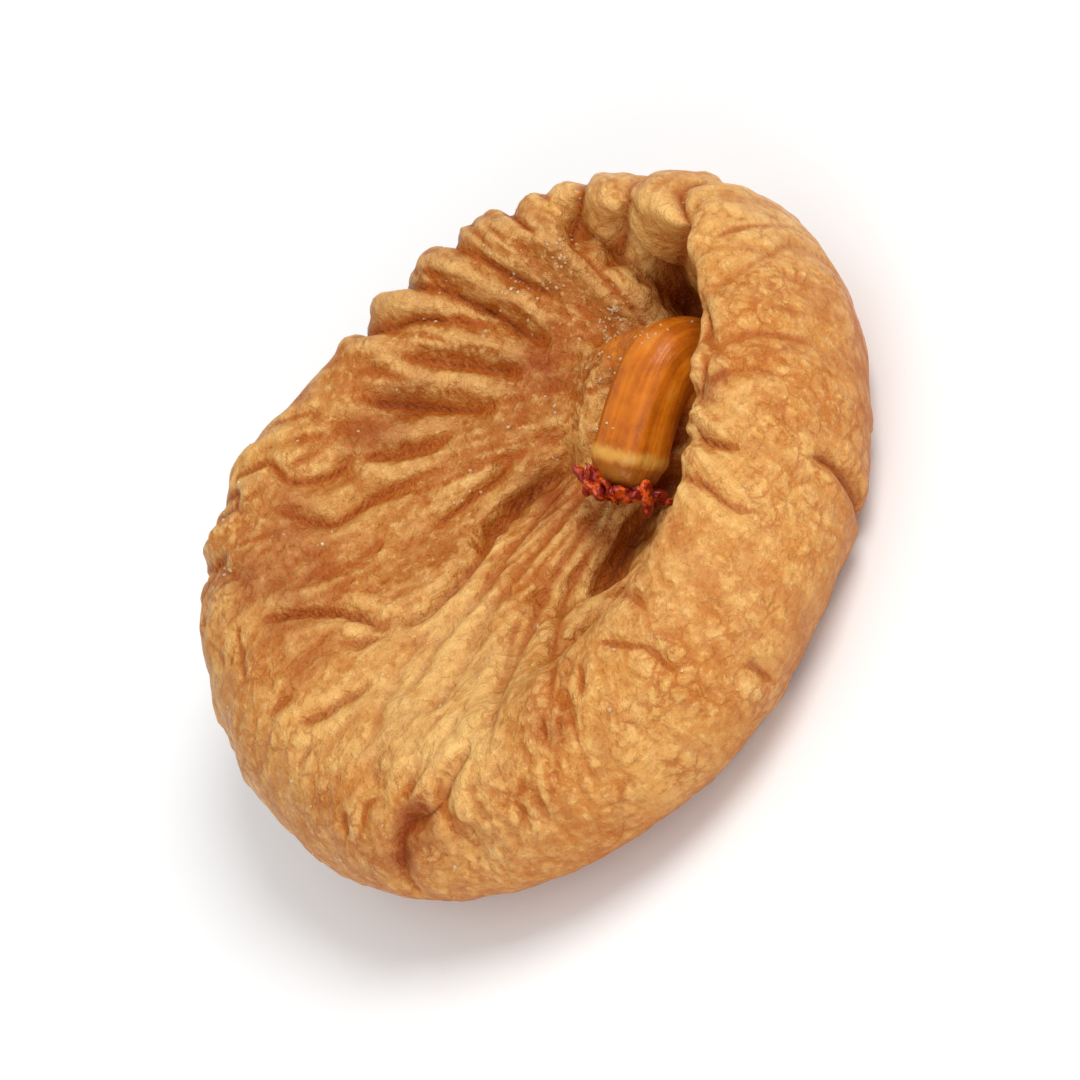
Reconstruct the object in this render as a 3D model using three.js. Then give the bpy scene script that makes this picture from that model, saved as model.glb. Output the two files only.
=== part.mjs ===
// A dried fig, pressed nearly flat as figs are when they are packed. It lies on its eye side with the stalk
// uppermost. Fruit and stalk grew as one piece, so they are one solid: a soft disc with a fat rolled rim, a
// sloping fan of folds behind the off-centre stalk, a crescent groove round the stalk's neck, and a dimple
// with the eye underneath.
// Millimetres, +Z up. The origin is the centre of the bounding box's underside, on the surface it rests on.
// The stalk bends over towards -X, and the widest part of the rolled rim faces -Y.
import * as THREE from "three";

// ---- How finely the skin is divided ----
const COLUMNS = 72; // meridians round the fruit
const STALK_ROWS = 9;
const FACE_ROWS = 12;
const SHOULDER_ROWS = 6; // from the rim's crest out to the widest point
const FLANK_ROWS = 6; // from the widest point down to the foot
const SOLE_ROWS = 6; // across the underside to the eye

// ---- The rim, every 30 degrees round from +X ----
// reach: plan radius. crest: height of the rim's top. inset: how far in from the outline the crest lies.
// slope: width of the rise from the face up to the crest. floor: height of the face beside the neck.
const RIM_STEP = 30;
const RIM = [
  { reach: 25.0, crest: 15.0, inset: 4.4, slope: 3.8, floor: 5.2 },
  { reach: 23.6, crest: 15.2, inset: 4.6, slope: 5.5, floor: 6.4 },
  { reach: 21.6, crest: 15.6, inset: 4.8, slope: 30.0, floor: 8.6 },
  { reach: 20.4, crest: 15.9, inset: 5.4, slope: 30.0, floor: 9.2 },
  { reach: 23.2, crest: 16.4, inset: 6.2, slope: 30.0, floor: 8.6 },
  { reach: 24.4, crest: 14.8, inset: 7.0, slope: 30.0, floor: 7.6 },
  { reach: 23.7, crest: 12.6, inset: 7.0, slope: 28.0, floor: 6.8 },
  { reach: 21.9, crest: 12.2, inset: 7.2, slope: 18.0, floor: 6.4 },
  { reach: 20.7, crest: 12.8, inset: 7.4, slope: 10.0, floor: 6.2 },
  { reach: 20.6, crest: 13.6, inset: 7.4, slope: 7.0, floor: 6.0 },
  { reach: 20.6, crest: 14.2, inset: 7.2, slope: 5.0, floor: 5.6 },
  { reach: 22.5, crest: 14.6, inset: 5.6, slope: 4.2, floor: 5.2 },
];
const SHORT_RISE = 8; // a rise narrower than this is a wall
const LONG_RISE = 16; // a rise wider than this starts climbing at once, as an even slope
const WAIST = 0.45; // height of the widest point, as a share of the crest
const FOOT_INSET = 6.5; // how far the foot lies inside the outline

// ---- Face, groove and folds ----
const GROOVE = {
  path: [[-5, -9], [0, -8], [5, -7], [10, -5.6], [14, -5], [17, -3.2], [17.7, 1], [17.2, 6], [16.2, 11]],
  depth: 1.8,
  width: 1.7,
};
const FOLDS = [
  { path: [[12.3, 17], [12.2, 5.5]], depth: 0.8, width: 1.1 },
  { path: [[8.8, 18], [10, 5.5]], depth: 0.8, width: 1.1 },
  { path: [[3.6, 19], [8, 6.5]], depth: 0.8, width: 1.2 },
  { path: [[-6, 18], [2.5, 7.5]], depth: 0.8, width: 1.4 },
  { path: [[-15, 13], [-10.5, 3.5], [-4, 1.5], [4, 1]], depth: 1.0, width: 1.3 },
];
const FADE = 3.0; // folds and groove fade in over this distance from the neck

// ---- Stalk ----
const NECK = new THREE.Vector2(13.4, -0.8); // plan place of the neck
const NECK_RADIUS = 3.4; // where the flared neck meets the face
const NECK_HEIGHT = 6.2;
const STALK_TIP = new THREE.Vector2(5.8, -2.9);
const STALK_RADIUS = 2.3;
const BEND_HEIGHT = 12.4; // height of the bend's first control point
const TIP_HEIGHT = 8.2;
const TIP_DOME = 0.4;

// ---- Underside ----
const EYE = new THREE.Vector2(-3, 1); // plan place of the eye
const DIMPLE_RADIUS = 7.0;
const DIMPLE_DEPTH = 2.2;
const EYE_RADIUS = 1.2;

const QUARTER = Math.PI / 2;
const smoothstep = (x) => THREE.MathUtils.smoothstep(x, 0, 1);

// A value of the rim at a plan angle, on a closed smooth curve through the RIM entries.
function rimValue(name, angle) {
  const at = THREE.MathUtils.euclideanModulo(THREE.MathUtils.radToDeg(angle), 360) / RIM_STEP;
  const i = Math.floor(at);
  const t = at - i;
  const [a, b, c, d] = [-1, 0, 1, 2].map((k) => RIM[(i + k + RIM.length) % RIM.length][name]);
  const bend = (2 * a - 5 * b + 4 * c - d) * t * t + (3 * b - a - 3 * c + d) * t * t * t;
  return b + 0.5 * ((c - a) * t + bend);
}

// How near a plan point is to a path: 1 on it, falling away over width, and tapering to its two ends.
function nearness(point, { path, width }) {
  let best = Infinity;
  let along = 0;
  let total = 0;
  for (let i = 0; i + 1 < path.length; i++) {
    const a = new THREE.Vector2(...path[i]);
    const leg = new THREE.Vector2(...path[i + 1]).sub(a);
    const length = leg.length();
    const t = THREE.MathUtils.clamp(point.clone().sub(a).dot(leg) / length ** 2, 0, 1);
    const gap = point.distanceTo(a.addScaledVector(leg, t));
    if (gap < best) {
      best = gap;
      along = total + t * length;
    }
    total += length;
  }
  const taper = smoothstep(Math.min(along, total - along) / (3 * width) + 0.35);
  return Math.exp(-((best / width) ** 2)) * taper;
}

// One meridian: where it starts at the neck, where it meets the outline, and its sizes.
function meridian(angle) {
  const names = ["reach", "crest", "inset", "slope", "floor"];
  const [reach, crest, inset, slope, floor] = names.map((name) => rimValue(name, angle));
  const edge = new THREE.Vector2(Math.cos(angle), Math.sin(angle)).multiplyScalar(reach);
  const out = edge.clone().sub(NECK);
  const length = out.length();
  out.divideScalar(length);
  return { edge, out, length, crest, inset, floor, slope: Math.min(slope, length - inset - NECK_RADIUS) };
}

// The face at a distance from the neck along a meridian.
function facePoint(m, distance) {
  const plan = NECK.clone().addScaledVector(m.out, distance);
  const crestAt = m.length - m.inset;
  const climbed = THREE.MathUtils.clamp((distance - crestAt + m.slope) / m.slope, 0, 1);
  const wall = smoothstep(climbed);
  const even = smoothstep((m.slope - SHORT_RISE) / (LONG_RISE - SHORT_RISE));
  const rise = wall + even * (1 - climbed ** 2) * (climbed ** 1.7 - wall);
  const fade = smoothstep((distance - NECK_RADIUS) / FADE);
  let z = m.floor + (m.crest - m.floor) * rise;
  for (const valley of [GROOVE, ...FOLDS]) z -= valley.depth * fade * nearness(plan, valley);
  return new THREE.Vector3(plan.x, plan.y, z);
}

// The shoulder, from the crest at turn 0 to the widest point at turn 1.
function shoulderPoint(m, turn) {
  const p = facePoint(m, m.length - m.inset * (1 - Math.sin(turn * QUARTER)));
  const dent = p.z - m.crest;
  const waist = WAIST * m.crest;
  p.z = waist + (m.crest - waist) * Math.cos(turn * QUARTER) + dent * (1 - turn);
  return p;
}

// The flank, from the widest point at turn 0 to the foot at turn 1.
function flankPoint(m, turn) {
  const inward = EYE.clone().sub(m.edge).normalize();
  const plan = m.edge.clone().addScaledVector(inward, FOOT_INSET * (1 - Math.cos(turn * QUARTER)));
  return new THREE.Vector3(plan.x, plan.y, WAIST * m.crest * (1 - Math.sin(turn * QUARTER)));
}

// The underside, from the foot at share 0 to the ring round the eye at share 1.
function solePoint(m, share) {
  const foot = flankPoint(m, 1);
  const start = new THREE.Vector2(foot.x, foot.y).sub(EYE);
  const radius = THREE.MathUtils.lerp(start.length(), EYE_RADIUS, share);
  const plan = EYE.clone().addScaledVector(start.normalize(), radius);
  return new THREE.Vector3(plan.x, plan.y, DIMPLE_DEPTH * smoothstep(1 - radius / DIMPLE_RADIUS));
}

// The stalk's centre line lies in an upright plane through the neck and the tip.
const lean = STALK_TIP.clone().sub(NECK);
const stalkReach = lean.length();
const forward = new THREE.Vector3(lean.x, lean.y, 0).normalize();
const sideways = new THREE.Vector3(0, 0, 1).cross(forward);
const onPlane = (along, height) =>
  new THREE.Vector3(NECK.x, NECK.y, 0).addScaledVector(forward, along).setZ(height);
const stalkLine = new THREE.CubicBezierCurve3(
  onPlane(0, NECK_HEIGHT),
  onPlane(0, BEND_HEIGHT),
  onPlane(0.3 * stalkReach, BEND_HEIGHT - 1.4),
  onPlane(stalkReach, TIP_HEIGHT),
);

// A ring of the stalk at share 0 (the neck's foot) to 1 (the cut tip).
function stalkPoint(m, share) {
  const centre = stalkLine.getPoint(share);
  const heading = stalkLine.getTangent(share);
  const upper = sideways.clone().cross(heading);
  const out = new THREE.Vector3(m.out.x, m.out.y, 0);
  const near = 1 - smoothstep(share / 0.4);
  const flare = (NECK_RADIUS - STALK_RADIUS) * near;
  centre.z += (m.floor - NECK_HEIGHT) * near;
  return centre
    .addScaledVector(upper, (STALK_RADIUS + flare) * out.dot(forward))
    .addScaledVector(sideways, (STALK_RADIUS + flare) * out.dot(sideways));
}

// Rings of the skin from the stalk's tip, over the face and the rim, and underneath to the eye.
const share = (rows) => Array.from({ length: rows }, (_, i) => i / rows);
const stations = [
  ...share(STALK_ROWS).map((s) => (m) => stalkPoint(m, 1 - s)),
  ...share(FACE_ROWS).map((s) => (m) => facePoint(m, NECK_RADIUS + s * (m.length - m.inset - NECK_RADIUS))),
  ...share(SHOULDER_ROWS).map((s) => (m) => shoulderPoint(m, s)),
  ...share(FLANK_ROWS).map((s) => (m) => flankPoint(m, s)),
  ...share(SOLE_ROWS).map((s) => (m) => solePoint(m, s)),
  (m) => solePoint(m, 1),
];

// The closed skin: quads between neighbouring rings, and a fan over each end.
function skinGeometry() {
  const meridians = Array.from({ length: COLUMNS }, (_, i) => meridian((2 * Math.PI * i) / COLUMNS));
  const points = stations.flatMap((place) => meridians.map(place));
  const tip = points.length;
  const tipCentre = stalkLine.getPoint(1).addScaledVector(stalkLine.getTangent(1), TIP_DOME);
  const eye = tip + 1;
  points.push(tipCentre, new THREE.Vector3(EYE.x, EYE.y, DIMPLE_DEPTH));
  const faces = [];
  const last = (stations.length - 1) * COLUMNS;
  for (let c = 0; c < COLUMNS; c++) {
    const next = (c + 1) % COLUMNS;
    for (let row = 0; row < last; row += COLUMNS) {
      const [a, b] = [row + c, row + next];
      faces.push(a, a + COLUMNS, b, b, a + COLUMNS, b + COLUMNS);
    }
    faces.push(tip, c, next, eye, last + next, last + c);
  }
  const geometry = new THREE.BufferGeometry().setFromPoints(points).setIndex(faces);
  geometry.computeBoundingBox();
  const middle = geometry.boundingBox.getCenter(new THREE.Vector3());
  geometry.translate(-middle.x, -middle.y, -geometry.boundingBox.min.z);
  geometry.computeVertexNormals();
  return geometry;
}

const skin = new THREE.MeshStandardMaterial({ color: 0xc8935a, roughness: 0.55, metalness: 0 });
const fig = new THREE.Mesh(skinGeometry(), skin);
fig.name = "dried_fig";

const part = new THREE.Group();
part.add(fig);

export default part;
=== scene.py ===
"""A dried fig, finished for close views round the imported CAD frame.

The fruit's smooth body and its stalk are laid out in millimetres, joined into one even skin, and then worked
as a dried skin is: deep folds that run in to the stalk, wrinkles along the same lines, and a cobbled surface.
Sugar crystals and the red, ragged end of the stalk are small pieces of their own that ride with the fruit.
"""

import logging
import math
from dataclasses import dataclass, field
from enum import Enum

import bpy
import numpy as np
from mathutils import Matrix, Vector
from mathutils.bvhtree import BVHTree
from mathutils.kdtree import KDTree

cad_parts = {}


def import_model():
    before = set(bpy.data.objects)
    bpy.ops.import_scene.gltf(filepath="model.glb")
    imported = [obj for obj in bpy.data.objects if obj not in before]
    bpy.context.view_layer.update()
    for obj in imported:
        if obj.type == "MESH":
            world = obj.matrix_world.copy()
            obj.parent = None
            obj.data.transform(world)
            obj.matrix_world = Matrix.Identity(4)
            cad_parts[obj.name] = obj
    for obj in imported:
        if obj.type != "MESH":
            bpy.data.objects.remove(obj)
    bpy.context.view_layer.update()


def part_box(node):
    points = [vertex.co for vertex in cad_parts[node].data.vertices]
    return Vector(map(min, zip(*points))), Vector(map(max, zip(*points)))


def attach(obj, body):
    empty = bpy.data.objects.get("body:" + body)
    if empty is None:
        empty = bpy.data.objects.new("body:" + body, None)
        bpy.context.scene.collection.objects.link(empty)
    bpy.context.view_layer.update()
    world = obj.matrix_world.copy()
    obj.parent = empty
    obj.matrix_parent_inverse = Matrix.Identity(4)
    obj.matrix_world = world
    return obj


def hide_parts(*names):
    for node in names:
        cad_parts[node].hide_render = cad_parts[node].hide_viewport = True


LOG = logging.getLogger("dried_fig")

NODE = "dried_fig"
BODY = "root"
MM = 0.001
LEAN = 42.0
"""How far the camera looks down, and how far the drawing plane leans back, in degrees."""

Array = np.ndarray


# ---------------------------------------------------------------- helpers on numbers


def smooth(x: Array | float) -> Array | float:
    """A smooth step from 0 at x = 0 to 1 at x = 1."""
    x = np.clip(x, 0.0, 1.0)
    return x * x * (3.0 - 2.0 * x)


def unit(vectors: Array) -> Array:
    """The vectors at length 1."""
    return vectors / np.maximum(np.linalg.norm(vectors, axis=-1, keepdims=True), 1e-9)


def smooth_curve(points: Array, count: int, closed: bool = False) -> Array:
    """Points along a Catmull-Rom curve.

    Args:
        points: the points that the curve passes through, one to a row.
        count: how many points to give back, evenly spread over the curve's spans.
        closed: whether the last point leads back to the first.

    Returns:
        An array of count rows.
    """
    points = np.asarray(points, float)
    if closed:
        padded = np.vstack([points[-1:], points, points[:2]])
        at = np.arange(count) / count * len(points)
    else:
        padded = np.vstack([2 * points[0] - points[1], points, 2 * points[-1] - points[-2]])
        at = np.linspace(0, len(points) - 1, count)
    span = np.minimum(at.astype(int), len(padded) - 4)
    t = (at - span)[:, None]
    a, b, c, d = (padded[span + k] for k in range(4))
    bend = (2 * a - 5 * b + 4 * c - d) * t**2 + (3 * b - a - 3 * c + d) * t**3
    return b + 0.5 * ((c - a) * t + bend)


class Noise:
    """Smooth gradient noise in space, the same on each run."""

    def __init__(self, seed: int) -> None:
        """Fills the tables.

        Args:
            seed: picks one pattern of noise.
        """
        draw = np.random.default_rng(seed)
        self.order = np.tile(draw.permutation(256), 3)
        self.slopes = unit(draw.normal(size=(256, 3)))

    def __call__(self, points: Array) -> Array:
        """The noise at each point.

        Args:
            points: one point to a row.

        Returns:
            About -1 to 1 for each.
        """
        cell = np.floor(points).astype(int)
        offset = points - cell
        ease = offset**3 * (offset * (offset * 6 - 15) + 10)
        cell &= 255
        total = np.zeros(len(points))
        for corner in np.ndindex(2, 2, 2):
            at = cell + corner
            key = self.order[self.order[self.order[at[:, 0]] + at[:, 1] % 256] + at[:, 2] % 256]
            weight = np.prod(np.where(corner, ease, 1 - ease), axis=1)
            total += weight * np.sum(self.slopes[key] * (offset - corner), axis=1)
        return total * 1.6

    def layers(self, points: Array, count: int = 3, gain: float = 0.5) -> Array:
        """Noise summed over octaves."""
        total = sum(gain**k * self(points * 2.0**k + 17.3 * k) for k in range(count))
        return total / sum(gain**k for k in range(count))


# ---------------------------------------------------------------- the smooth form


@dataclass(frozen=True)
class RimStation:
    """The rim's sizes at one plan angle, in millimetres."""

    reach: float
    """Plan radius of the outline."""
    crest: float
    """Height of the rim's top."""
    inset: float
    """How far in from the outline the crest lies."""
    slope: float
    """Width of the rise from the floor of the face to the crest."""
    floor: float
    """Height of the face beside the neck."""


@dataclass(frozen=True)
class Valley:
    """A broad valley, or with a negative depth a ridge, along a path over the face."""

    path: tuple[tuple[float, float], ...]
    depth: float
    width: float
    taper: float = 3.0

    def depth_at(self, plan: Array) -> Array:
        """How far the valley lowers the face.

        Args:
            plan: one plan point to a row.

        Returns:
            A depth in millimetres for each.
        """
        line = smooth_curve(self.path, 8 * len(self.path))
        start, leg = line[:-1], np.diff(line, axis=0)
        run = np.linalg.norm(leg, axis=1)
        along = np.concatenate([[0.0], np.cumsum(run)])
        best = np.full(len(plan), np.inf)
        place = np.zeros(len(plan))
        for i in range(len(leg)):
            t = np.clip((plan - start[i]) @ leg[i] / run[i] ** 2, 0, 1)
            gap = np.linalg.norm(plan - start[i] - t[:, None] * leg[i], axis=1)
            nearer = gap < best
            best[nearer] = gap[nearer]
            place[nearer] = along[i] + t[nearer] * run[i]
        ends = smooth(np.minimum(place, along[-1] - place) / self.taper + 0.3)
        return self.depth * np.exp(-((best / self.width) ** 2)) * ends


@dataclass(frozen=True)
class FruitForm:
    """The smooth body of the fruit: rings of points from the neck, over the rim, to the eye."""

    rim: tuple[RimStation, ...] = (
        RimStation(25.0, 15.0, 4.4, 3.8, 5.2),
        RimStation(23.6, 15.2, 4.6, 5.5, 6.4),
        RimStation(21.6, 15.6, 4.8, 30.0, 8.6),
        RimStation(20.4, 15.9, 5.4, 30.0, 9.2),
        RimStation(23.2, 16.4, 6.2, 30.0, 8.6),
        RimStation(24.4, 14.8, 7.0, 30.0, 7.6),
        RimStation(23.7, 12.6, 7.0, 28.0, 6.8),
        RimStation(21.9, 12.2, 7.2, 18.0, 6.4),
        RimStation(20.7, 12.8, 7.4, 10.0, 6.2),
        RimStation(20.6, 13.6, 7.4, 7.0, 6.0),
        RimStation(20.6, 14.2, 7.2, 5.0, 5.6),
        RimStation(22.5, 14.6, 5.6, 4.2, 5.2),
    )
    valleys: tuple[Valley, ...] = (
        Valley(
            ((-5, -9), (0, -8), (5, -7), (10, -5.6), (14, -5), (17, -3.2), (17.7, 1), (17.2, 6), (16.2, 11)),
            2.0,
            1.2,
        ),
        Valley(((16.8, 4), (17.2, 8), (16.8, 12)), 1.6, 0.9),
        Valley(((15.0, 2.6), (15.1, 7), (15.0, 11)), -1.2, 1.1),
        Valley(((6, 2.2), (3, 3.4), (-3, 4.4)), 1.5, 1.4),
        Valley(((6, -5), (2, -4.4), (-4, -4.6)), 1.2, 1.4),
        Valley(((3.5, -0.6), (0, -0.4), (-8, -0.4)), -0.6, 1.5),
        Valley(((13.0, 3.0), (10.4, 2.6), (7.6, 1.4), (5.5, 0.4)), -1.7, 1.7),
    )
    neck: tuple[float, float] = (13.4, -0.8)
    eye: tuple[float, float] = (-3.0, 1.0)
    neck_height: float = 7.0
    waist: float = 0.45
    foot_inset: float = 6.5
    dimple_radius: float = 7.0
    dimple_depth: float = 2.2
    neck_radius: float = 3.4
    columns: int = 480
    face_rows: int = 110
    shoulder_rows: int = 26
    flank_rows: int = 26
    sole_rows: int = 30

    def stations(self, angle: Array) -> Array:
        """Reach, crest, inset, slope and floor at each angle, one column each."""
        table = np.array([[s.reach, s.crest, s.inset, s.slope, s.floor] for s in self.rim])
        return smooth_curve(table, len(angle), closed=True)

    def rings(self) -> tuple[Array, Array]:
        """The body's points and their meridian places.

        Returns:
            Points of shape (rows, columns, 3), and for each the distance along its meridian from the neck.
        """
        angle = np.arange(self.columns) / self.columns * 2 * math.pi
        reach, crest, inset, slope, floor = self.stations(angle).T
        neck, eye = np.array(self.neck), np.array(self.eye)
        edge = reach[:, None] * np.stack([np.cos(angle), np.sin(angle)], axis=1)
        out, length = unit(edge - neck), np.linalg.norm(edge - neck, axis=1)
        slope = np.minimum(slope, length - inset - self.neck_radius)

        def face(distance: Array) -> Array:
            """The stalk side of the fruit, from the neck out to the rim.

            Args:
                distance: how far out from the neck, for each column.

            Returns:
                One point to a row.
            """
            plan = neck + distance[:, None] * out
            share = np.clip((distance - (length - inset) + slope) / slope, 0, 1)
            gentle = smooth((slope - 8) / 8)
            rise = smooth(share) + gentle * (1 - share**2) * (share**1.7 - smooth(share))
            low = self.neck_height + (floor - self.neck_height) * smooth(distance / self.neck_radius)
            z = low + (crest - low) * rise
            for valley in self.valleys:
                z = z - valley.depth_at(plan)
            return np.column_stack([plan, z])

        rows = []
        for s in np.linspace(0, 1, self.face_rows, endpoint=False):
            rows.append(face(s * (length - inset)))
        waist = self.waist * crest
        for s in np.linspace(0, 1, self.shoulder_rows, endpoint=False):
            turn = s * math.pi / 2
            p = face(length - inset * (1 - math.sin(turn)))
            dent = p[:, 2] - crest
            p[:, 2] = waist + (crest - waist) * math.cos(turn) + dent * (1 - s)
            rows.append(p)
        inward = unit(eye - edge)
        for s in np.linspace(0, 1, self.flank_rows, endpoint=False):
            turn = s * math.pi / 2
            plan = edge + inward * self.foot_inset * (1 - math.cos(turn))
            rows.append(np.column_stack([plan, waist * (1 - math.sin(turn))]))
        foot = edge + inward * self.foot_inset
        for s in np.linspace(0, 1, self.sole_rows):
            plan = foot + (eye - foot) * s
            radius = np.linalg.norm(plan - eye, axis=1)
            rows.append(np.column_stack([plan, self.dimple_depth * smooth(1 - radius / self.dimple_radius)]))
        points = np.array(rows)
        steps = np.linalg.norm(np.diff(points, axis=0), axis=2)
        run = np.concatenate([np.zeros((1, self.columns)), np.cumsum(steps, axis=0)])
        return points, run


@dataclass(frozen=True)
class StalkForm:
    """The stub of stalk: a tube that rises from the neck and bends over to lie along the face."""

    base: tuple[float, float, float] = (13.4, -1.0, 5.0)
    rise: tuple[float, float, float] = (16.0, -1.2, 12.2)
    bend: tuple[float, float, float] = (11.8, -1.8, 10.6)
    tip: tuple[float, float, float] = (5.2, -3.1, 8.0)
    radius: float = 2.3
    flare: float = 1.2
    flare_run: float = 0.35
    """Share of the way over which the foot's flare dies out."""
    collar: float = 0.89
    """Share of the way to the tip at which the pale collar stands."""
    collar_run: float = 0.022
    collar_height: float = 0.16
    stub_taper: float = 0.3
    """How much thinner the torn stub beyond the collar is."""
    stub_run: float = 0.06
    tip_run: float = 0.04
    columns: int = 96
    rows: int = 120

    def spine(self, share: Array) -> tuple[Array, Array]:
        """The tube's middle line.

        Args:
            share: shares of the way from the neck to the tip.

        Returns:
            Centres and headings.
        """
        a, b, c, d = (np.array(p) for p in (self.base, self.rise, self.bend, self.tip))
        t = share[:, None]
        centre = a * (1 - t) ** 3 + 3 * b * t * (1 - t) ** 2 + 3 * c * t**2 * (1 - t) + d * t**3
        heading = (b - a) * (1 - t) ** 2 + 2 * (c - b) * t * (1 - t) + (d - c) * t**2
        return centre, unit(heading)

    def rings(self) -> tuple[Array, Array]:
        """The tube's skin.

        Returns:
            Points of shape (rows, columns, 3), and each row's share of the way to the tip.
        """
        share = np.linspace(0, 1, self.rows)
        centre, heading = self.spine(share)
        lean = np.array(self.tip) - np.array(self.base)
        sideways = unit(np.cross([0, 0, 1.0], [lean[0], lean[1], 0.0]))
        upper = unit(np.cross(sideways, heading))
        angle = np.arange(self.columns) / self.columns * 2 * math.pi
        past = share - self.collar
        ring = self.collar_height * np.exp(-((past / self.collar_run) ** 2))
        radius = self.radius + self.flare * (1 - smooth(share / self.flare_run))
        radius += ring - self.stub_taper * smooth(past / self.stub_run)
        radius = radius * np.sqrt(np.clip((1 - share) / self.tip_run, 0, 1))
        ridged = 1 + 0.035 * np.cos(5 * angle + 0.7) + 0.02 * np.cos(11 * angle + 2.0)
        around = np.cos(angle)[None, :, None] * upper[:, None] + np.sin(angle)[None, :, None] * sideways
        points = centre[:, None] + around * (radius[:, None] * ridged[None, :])[..., None]
        return points, share


def closed_skin(rings: Array, name: str) -> bpy.types.Mesh:
    """A closed mesh through rings of points, each end drawn in to one point.

    Args:
        rings: points of shape (rows, columns, 3).
        name: the mesh's name.

    Returns:
        The mesh.
    """
    rows, columns = rings.shape[:2]
    points = np.vstack([rings.reshape(-1, 3), rings[0].mean(axis=0), rings[-1].mean(axis=0)])
    column = np.arange(columns)
    beside = (column + 1) % columns
    row = (np.arange(rows - 1) * columns)[:, None]
    quads = np.stack([row + column, row + columns + column, row + columns + beside, row + beside], axis=2)
    first, last = rows * columns, rows * columns + 1
    final_row = (rows - 1) * columns
    fans = [(first, int(a), int(b)) for a, b in zip(column, beside)]
    fans += [(last, int(b) + final_row, int(a) + final_row) for a, b in zip(column, beside)]
    mesh = bpy.data.meshes.new(name)
    mesh.from_pydata(points.tolist(), [], quads.reshape(-1, 4).tolist() + fans)
    mesh.validate()
    return mesh


# ---------------------------------------------------------------- the worked skin


class Mark(Enum):
    """What the skin's points are marked with, for the material and for the sugar."""

    FLOW = "flow"
    """Place round the fruit and along its meridian."""
    # Where the skin folds in; the material paints shade along it.
    CREASE = "crease"
    FURROW = "furrow"
    # Narrow hollows, and below 0 the puffs between them. The material paints shade into the hollows and a
    # highlight onto the puffs.
    """Narrow hollows, and below 0 the puffs between them."""
    DELL = "dell"
    # Broad hollows, into which the material paints shade.
    """Broad hollows."""
    FAN = "fan"
    """The pleated fan behind the stalk."""
    # Stains, and painted shade in the hollows beside the stalk's tip.
    STAIN_AND_SHADE = "stain_and_shade"
    # Pale patches: partly painted light on skin that lies in shade.
    PALE_AND_PAINTED_LIGHT = "pale"
    # The underside, darker amber and partly painted shade.
    UNDERSIDE_AND_SHADE = "underside_and_shade"
    STALK = "stalk"
    STALK_SIDE = "stalk_side"
    COLLAR = "collar"
    STUB = "stub"
    SUGAR = "sugar"


@dataclass
class Skin:
    """An even closed mesh in millimetres, whose points can be smoothed and pushed along their normals."""

    mesh: bpy.types.Mesh
    points: Array = field(init=False)
    normals: Array = field(init=False)
    edges: Array = field(init=False)

    def __post_init__(self) -> None:
        """Reads the mesh."""
        count = len(self.mesh.vertices)
        flat = np.empty(count * 3, np.float32)
        self.mesh.vertices.foreach_get("co", flat)
        self.points = flat.reshape(-1, 3).astype(float)
        links = np.empty(len(self.mesh.edges) * 2, np.int32)
        self.mesh.edges.foreach_get("vertices", links)
        self.edges = links.reshape(-1, 2)
        self.read_normals()

    def read_normals(self) -> None:
        """Writes the points back to the mesh and reads its normals again."""
        self.mesh.vertices.foreach_set("co", self.points.astype(np.float32).ravel())
        self.mesh.update()
        flat = np.empty(len(self.points) * 3, np.float32)
        self.mesh.vertex_normals.foreach_get("vector", flat)
        self.normals = flat.reshape(-1, 3).astype(float)

    def spread(self, values: Array, steps: int, weights: Array | None = None) -> Array:
        """Blurs a value or a vector over the skin.

        Args:
            values: one value or one vector for each point.
            steps: how many times each point takes half of its neighbours' mean.
            weights: how strongly each edge carries, or None for all alike.

        Returns:
            The blurred values.
        """
        if values.ndim == 2:
            return np.stack([self.spread(v, steps, weights) for v in values.T], axis=1)
        a, b = self.edges.T
        carry = np.ones(len(a)) if weights is None else weights
        count = len(values)
        total = np.bincount(a, carry, count) + np.bincount(b, carry, count)
        for _ in range(steps):
            near = np.bincount(a, carry * values[b], count) + np.bincount(b, carry * values[a], count)
            values = 0.5 * values + 0.5 * near / total
        return values

    def relax(self, steps: int) -> None:
        """Smooths the shape itself."""
        self.points = self.spread(self.points, steps)
        self.read_normals()

    def push(self, distance: Array) -> None:
        """Moves each point along its normal."""
        self.points = self.points + self.normals * distance[:, None]
        self.read_normals()

    def hollow(self, steps: int) -> Array:
        """How far each point lies below its surroundings, in millimetres, positive in a valley."""
        return np.sum((self.spread(self.points, steps) - self.points) * self.normals, axis=1)

    def mark(self, mark: Mark, values: Array) -> None:
        """Stores a value or a vector for each point, where the material reads it.

        Args:
            mark: what the points are marked with.
            values: one value or one vector for each point.
        """
        kind, key = ("FLOAT", "value") if values.ndim == 1 else ("FLOAT_VECTOR", "vector")
        layer = self.mesh.attributes.new(mark.value, kind, "POINT")
        layer.data.foreach_set(key, values.astype(np.float32).ravel())


NO_COLLAR = 9.0
"""A place past the tip, where a collar doesn't show."""
WEB = StalkForm(
    base=(14.2, -0.8, 6.0),
    rise=(14.0, 0.4, 10.8),
    bend=(12.0, 2.4, 10.6),
    tip=(9.4, 4.8, 6.6),
    radius=1.7,
    flare=1.0,
    collar=NO_COLLAR,
)
"""The web of skin that ties the neck to the face behind it."""


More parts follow.
